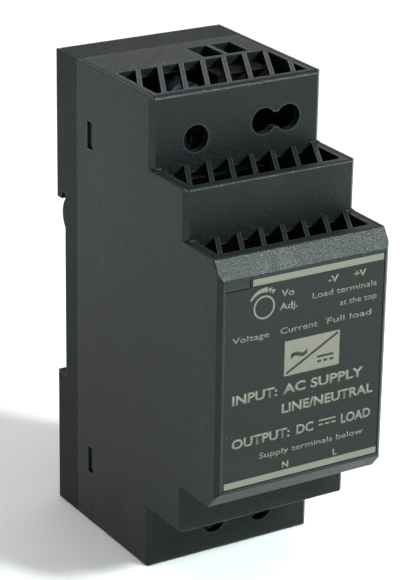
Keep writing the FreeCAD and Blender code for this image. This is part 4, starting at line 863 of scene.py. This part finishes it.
class SUPPLY_OT_latch_spring(bpy.types.Operator):
    """Winds the compression spring behind the rail latch, with a closed turn at each end"""
    bl_idname = "supply.latch_spring"
    bl_label = "Latch spring"

    def execute(self, context):
        settings = context.scene.supply_wire
        wire, turns = settings.spring_wire, settings.spring_turns
        radius = (SPRING_HIGH[0] - SPRING_LOW[0]) / 2 - wire / 2
        foot, head = SPRING_LOW[2] + wire / 2, SPRING_HIGH[2] - wire / 2
        closed = CLOSED_TURN * wire
        open_pitch = (head - foot - 2 * closed) / (turns - 2)
        runs = [coil(radius, wire, closed, 1, foot),
                coil(radius, wire, open_pitch, turns - 2, foot + closed),
                coil(radius, wire, closed, 1, head - closed)]
        piece = join(runs)
        weld_and_cap(piece, WELD_GAP * wire)
        piece.location = ((SPRING_LOW[0] + SPRING_HIGH[0]) / 2, (SPRING_LOW[1] + SPRING_HIGH[1]) / 2, 0)
        apply_place()
        steel = finish_named("spring_wire", lambda: metal("spring_wire", (0.42, 0.42, 0.41), 0.24))
        seat(piece, "latch_spring_coil", steel)
        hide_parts("latch_spring")
        travel = next(joint["range_m"][1] for joint in frame["joints"] if joint["name"] == "rail_latch_slide")
        length = SPRING_HIGH[2] - SPRING_LOW[2]
        (length - travel) / length
        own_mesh(piece)
        return {"FINISHED"}


class SUPPLY_OT_choke_windings(bpy.types.Operator):
    """Winds the two halves of the interference choke"""
    bl_idname = "supply.choke_windings"
    bl_label = "Choke windings"

    def execute(self, context):
        settings = context.scene.supply_wire
        wire, turns = settings.choke_wire, settings.choke_turns
        centre = Vector([(CORE_LOW[i] + CORE_HIGH[i]) / 2 for i in range(3)])
        outer = (CORE_HIGH[0] - CORE_LOW[0]) / 2
        inner = 3.0 * MM
        thick = CORE_HIGH[2] - CORE_LOW[2]
        clearance = 0.05 * MM
        spread = math.radians(126)
        foot = CHOKE_HIGH[1]
        for side, name in ((-1, "left"), (1, "right")):
            outline = box_turn(outer - inner + wire + 2 * clearance, thick + wire + 2 * clearance, 0.8 * MM)
            middle = (outer + inner) / 2
            turn = tube([(middle + across, 0, up) for across, up in outline], wire, closed=True)
            first = (0 if side > 0 else math.pi) - spread / 2
            places = [Matrix.Translation(centre) @ Matrix.Rotation(first + spread * i / (turns - 1), 4, "Z")
                      for i in range(turns)]
            winding = copies(turn, places)
            leads = []
            for end in (-1, 1):
                angle = first + spread * (turns - 1 if side > 0 else 0)
                reach = outer + wire / 2 + clearance
                at = centre + Vector((math.cos(angle) * reach, math.sin(angle) * reach, 0))
                across = centre.x + side * outer * 0.55
                level = centre.z + end * (thick + wire) / 2
                leads.append(tube([(at.x, at.y, centre.z + end * thick * 0.3), (at.x, at.y + 0.4 * MM, level),
                                   (across, at.y + 1.2 * MM, level), (across, foot - 3 * MM, level),
                                   (across, foot, level)], wire * 0.9))
            piece = join([winding] + leads)
            outward_normals()
            seat(piece, "choke_winding_" + name, wire_finish(settings))
            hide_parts("emi_choke_windings")
        return {"FINISHED"}


class SUPPLY_OT_transformer_winding(bpy.types.Operator):
    """Winds the outer layer of the transformer"""
    bl_idname = "supply.transformer_winding"
    bl_label = "Transformer winding"

    def execute(self, context):
        settings = context.scene.supply_wire
        wire = settings.coil_wire
        size = COIL_HIGH - COIL_LOW
        middle = (COIL_HIGH + COIL_LOW) / 2
        turns = int(size[2] / (WINDING_LAY * wire))
        outline = box_turn(size[0] - wire, size[1] - wire, 1.5 * MM)
        turn = tube([(x, y, 0) for x, y in outline], wire, closed=True)
        foot = COIL_LOW[2] + wire / 2
        pitch = (size[2] - wire) / (turns - 1)
        piece = copies(turn, [Matrix.Translation((middle[0], middle[1], foot + i * pitch))
                              for i in range(turns)])
        outward_normals()
        seat(piece, "transformer_winding_turns", wire_finish(settings))
        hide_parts("transformer_winding")
        return {"FINISHED"}


class SUPPLY_OT_inductor_winding(bpy.types.Operator):
    """Winds the wire between the flanges of the output inductor"""
    bl_idname = "supply.inductor_winding"
    bl_label = "Inductor winding"

    def execute(self, context):
        settings = context.scene.supply_wire
        wire = settings.drum_wire
        flange, waist = 1.4 * MM, 0.7 * MM
        radius = (DRUM_HIGH[0] - DRUM_LOW[0]) / 2 - waist + wire / 2
        front = DRUM_LOW[1] + flange
        drum_length = 9.2 * MM
        room = drum_length - 2 * flange
        turns = int(room / wire)
        piece = coil(radius, wire, (room - wire) / turns, turns, wire / 2)
        weld_and_cap(piece, WELD_GAP * wire)
        piece.rotation_euler = (-math.pi / 2, 0, 0)
        piece.location = ((DRUM_LOW[0] + DRUM_HIGH[0]) / 2, front, (DRUM_LOW[2] + DRUM_HIGH[2]) / 2)
        apply_place()
        seat(piece, "output_inductor_winding", wire_finish(settings))
        return {"FINISHED"}


# ---- Finishes of the frame's parts ----------------------------------------------------------------
class SUPPLY_OT_case_finish(bpy.types.Operator):
    """Gives the housing, the rail foot and the latch their moulded finish"""
    bl_idname = "supply.case_finish"
    bl_label = "Case finish"

    def execute(self, context):
        case = context.scene.supply_case
        dress(moulded("case_housing", case.housing, case.roughness, case.grain, case.grain_depth,
                      case.edge_wear_and_highlight, case.dust), "front_housing")
        dress(moulded("case_base", case.base, case.roughness + 0.04, case.grain, case.grain_depth,
                      case.edge_wear_and_highlight * 0.8, case.dust, 0.05), "rear_base")
        dress(moulded("latch_moulding", (0.012, 0.013, 0.013), 0.4, 0.4 * MM, 0.02 * MM), "rail_latch")
        return {"FINISHED"}


class SUPPLY_OT_label_finish(bpy.types.Operator):
    """Gives the label film and the indicator window their finish"""
    bl_idname = "supply.label_finish"
    bl_label = "Label finish"

    def execute(self, context):
        case = context.scene.supply_case
        dress(finish_named("label_film_satin", lambda: label_film("label_film_satin", case.film)),
              "front_label")
        dress(clear("window_clear", (0.016, 0.019, 0.019), 0.30, 0.10), "light_guide")
        dress(clear("indicator_green", (0.05, 0.30, 0.08), 0.2, 0.35), "status_led")
        return {"FINISHED"}


class SUPPLY_OT_board_finish(bpy.types.Operator):
    """Gives the boards, the film behind them and what is mounted flat on them their finish"""
    bl_idname = "supply.board_finish"
    bl_label = "Board finish"

    def execute(self, context):
        dress(laminate("board_main", tuple(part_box("main_board")[0])), "main_board")
        dress(laminate("board_upright", tuple(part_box("control_board")[0])), "control_board")
        dress(film_sheet("insulation_milky"), "insulation_sheet")
        dress(moulded("chip_epoxy", (0.012, 0.012, 0.013), 0.5, 0.12 * MM, 0.004 * MM, 0.3, 0.0),
              "chip_resistors", "control_ic", "optocoupler", "bridge_rectifier", *POWER_DEVICES)
        return {"FINISHED"}


class SUPPLY_OT_terminal_finish(bpy.types.Operator):
    """Gives the terminals, screws, cages and the adjuster their finish"""
    bl_idname = "supply.terminal_finish"
    bl_label = "Terminal finish"

    def execute(self, context):
        # terminal blocks coloured near black: painted shade of the case's dark inside
        dress(moulded("terminal_moulding", (0.005, 0.0055, 0.0055), 0.5, 0.3 * MM, 0.006 * MM, 0.3, 0.1),
              "output_terminal_block", "input_terminal_block")
        dress(metal("screw_plating", (0.66, 0.66, 0.63), 0.26, 0.35), *SCREWS, *CAGES,
              *(name + part for name in POWER_DEVICES for part in ("_clamp_screw", "_clamp_nut")))
        dress(metal("bar_tin", (0.62, 0.61, 0.58), 0.34, 0.4, (1, 6, 1)),
              "output_contact_bars", "input_contact_bars")
        # the adjuster's body and rotor are coloured near black: painted shade of the hole they sit behind
        dress(moulded("trimmer_moulding", (0.003, 0.004, 0.007), 0.5, 0.3 * MM, 0.004 * MM, 0.2, 0.0, 0.08),
              "trimmer_body")
        dress(metal("trimmer_rotor_painted_shade", (0.010, 0.008, 0.006), 0.6, 0.5), "trimmer_rotor")
        return {"FINISHED"}


class SUPPLY_OT_component_finish(bpy.types.Operator):
    """Gives the capacitors, coils, fuse and heat sinks their finish"""
    bl_idname = "supply.component_finish"
    bl_label = "Component finish"

    def execute(self, context):
        for node in CAPACITORS:
            colour = (0.010, 0.012, 0.016) if node == "bulk_capacitor" else (0.007, 0.010, 0.020)
            dress(sleeve(node + "_sleeve", node, colour), node)
        dress(ferrite("core_ferrite"), "emi_choke_core", "transformer_core_upper", "transformer_core_lower",
              "output_inductor")
        dress(dipped("disc_blue", (0.02, 0.08, 0.26)), "varistor", "y_capacitor")
        dress(dipped("disc_dark_green", (0.015, 0.045, 0.03)), "inrush_thermistor")
        dress(moulded("film_case_yellow", (0.55, 0.36, 0.07), 0.4, 0.35 * MM, 0.006 * MM, 0.15, 0.1),
              "x_capacitor")
        dress(moulded("fuse_case_brown", (0.05, 0.022, 0.012), 0.4, 0.3 * MM, 0.005 * MM, 0.3, 0.1), "fuse")
        dress(moulded("bobbin_phenolic", (0.022, 0.017, 0.013), 0.45, 0.3 * MM, 0.006 * MM, 0.3, 0.1),
              "transformer_bobbin")
        tape_low, tape_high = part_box("transformer_tape")
        dress(taped("tape_amber", (0.10, 0.055, 0.012), tuple(tape_low), tape_high), "transformer_tape")
        dress(metal("sink_aluminium", (0.70, 0.71, 0.72), 0.36, 0.2, (1, 1, 12), 0.008 * MM),
              *(name + "_heat_sink" for name in POWER_DEVICES))
        dress(wire_finish(context.scene.supply_wire), "emi_choke_windings", "transformer_winding")
        dress(metal("spring_plain", (0.42, 0.42, 0.41), 0.24), "latch_spring")
        return {"FINISHED"}


# ---- Stage ----------------------------------------------------------------------------------------
CAMERA_AZIMUTH = math.radians(-32.16)
CAMERA_ELEVATION = math.radians(22.03)
CAMERA_ROLL = math.radians(1.11)
CAMERA_PLACE = Vector((-220.48, -353.0, 213.61)) * MM
CAMERA_LENS = 153.0
CAMERA_SHIFT = (-0.0284, 0.0385)
STAGE_RADIUS = 0.9
FLOOR_GAP = 0.05 * MM        # floor below the object
COOL_WHITE = (0.86, 1.0, 0.985)


def camera_axes(azimuth, elevation, roll):
    """Right, up and back of a camera turned round the object and rolled about its view."""
    back = Vector((math.sin(azimuth) * math.cos(elevation), -math.cos(azimuth) * math.cos(elevation),
                   math.sin(elevation)))
    level = Vector((math.cos(azimuth), math.sin(azimuth), 0))
    upright = back.cross(level)
    right = math.cos(roll) * level + math.sin(roll) * upright
    up = math.cos(roll) * upright - math.sin(roll) * level
    return Matrix((right, up, back)).transposed()


def soft_light(name, place, size, power, aim, colour=(1.0, 1.0, 1.0)):
    """A square soft light, aimed at a point."""
    start()
    place = Vector(place)
    turn = (Vector(aim) - place).to_track_quat("-Z", "Y").to_euler()
    bpy.ops.object.light_add(type="AREA", location=place, rotation=turn)
    lamp = bpy.context.object
    lamp.name = name
    lamp.data.shape = "RECTANGLE"
    lamp.data.size, lamp.data.size_y = size
    lamp.data.energy = power
    lamp.data.color = colour


class SUPPLY_OT_stage(bpy.types.Operator):
    """Sets up the floor, the soft lights, the even surroundings and the camera"""
    bl_idname = "supply.stage"
    bl_label = "Stage"

    def execute(self, context):
        scene = context.scene
        studio = scene.supply_studio
        start()
        bpy.ops.mesh.primitive_circle_add(vertices=96, radius=STAGE_RADIUS, fill_type="NGON",
                                          location=(0, 0, CAD_BOX[0][2] - FLOOR_GAP))
        apply_place()
        floor = bpy.context.object
        floor.name = "stage_floor"
        floor.data.materials.append(floor_finish(studio.floor))
        middle = (CAD_BOX[0] + CAD_BOX[1]) / 2
        soft_light("light_overhead", (0.10, 0.0, 1.35), (1.7, 1.7), studio.overhead, middle)
        soft_light("light_side", (-0.20, -0.02, 0.015), (0.10, 0.05), studio.side, middle)
        soft_light("light_glance", (0.335, -0.55, 0.50), (0.13, 0.13), studio.glance, middle,
                   COOL_WHITE)
        soft_light("light_behind", (0.42, 0.66, 0.36), (0.5, 0.3), studio.behind, middle)
        soft_light("light_fill", (-0.36, 0.72, 0.34), (0.5, 0.5), studio.fill, middle)
        scene.world = Surroundings("studio_surroundings", studio.surroundings, studio.horizon).world
        scene.view_settings.view_transform = "Standard"
        bpy.ops.object.camera_add(location=CAMERA_PLACE)
        camera = bpy.context.object
        camera.name = "camera"
        camera.rotation_euler = camera_axes(CAMERA_AZIMUTH, CAMERA_ELEVATION, CAMERA_ROLL).to_euler()
        camera.data.lens = CAMERA_LENS
        camera.data.shift_x, camera.data.shift_y = CAMERA_SHIFT
        camera.data.clip_start, camera.data.clip_end = 0.01, 20.0
        scene.camera = camera
        return {"FINISHED"}


# ---- Panel and registration -----------------------------------------------------------------------
OPERATORS = (SUPPLY_OT_case_finish, SUPPLY_OT_label_finish, SUPPLY_OT_board_finish,
             SUPPLY_OT_terminal_finish, SUPPLY_OT_component_finish, SUPPLY_OT_label_stripes,
             SUPPLY_OT_dial_mark, SUPPLY_OT_converter_symbol, SUPPLY_OT_label_words,
             SUPPLY_OT_latch_spring, SUPPLY_OT_choke_windings, SUPPLY_OT_transformer_winding,
             SUPPLY_OT_inductor_winding, SUPPLY_OT_stage)


class SUPPLY_PT_panel(bpy.types.Panel):
    """Lists the settings and the operators in the order they are used"""
    bl_idname = "SUPPLY_PT_panel"
    bl_label = "DIN rail power supply"
    bl_space_type = "VIEW_3D"
    bl_region_type = "UI"
    bl_category = "Supply"

    def draw(self, context):
        for group, kind in SETTINGS.items():
            box = self.layout.box()
            for setting in kind.__annotations__:
                box.prop(getattr(context.scene, group), setting)
        for operator in OPERATORS:
            self.layout.operator(operator.bl_idname)


def register():
    for kind in (*SETTINGS.values(), *OPERATORS, SUPPLY_PT_panel):
        bpy.utils.register_class(kind)
    for name, kind in SETTINGS.items():
        setattr(bpy.types.Scene, name, bpy.props.PointerProperty(type=kind))


def unregister():
    for name in SETTINGS:
        delattr(bpy.types.Scene, name)
    for kind in (SUPPLY_PT_panel, *reversed(OPERATORS), *SETTINGS.values()):
        bpy.utils.unregister_class(kind)


def main():
    register()
    for operator in OPERATORS:
        group, name = operator.bl_idname.split(".")
        getattr(getattr(bpy.ops, group), name)()


if __name__ == "__main__":
    main()
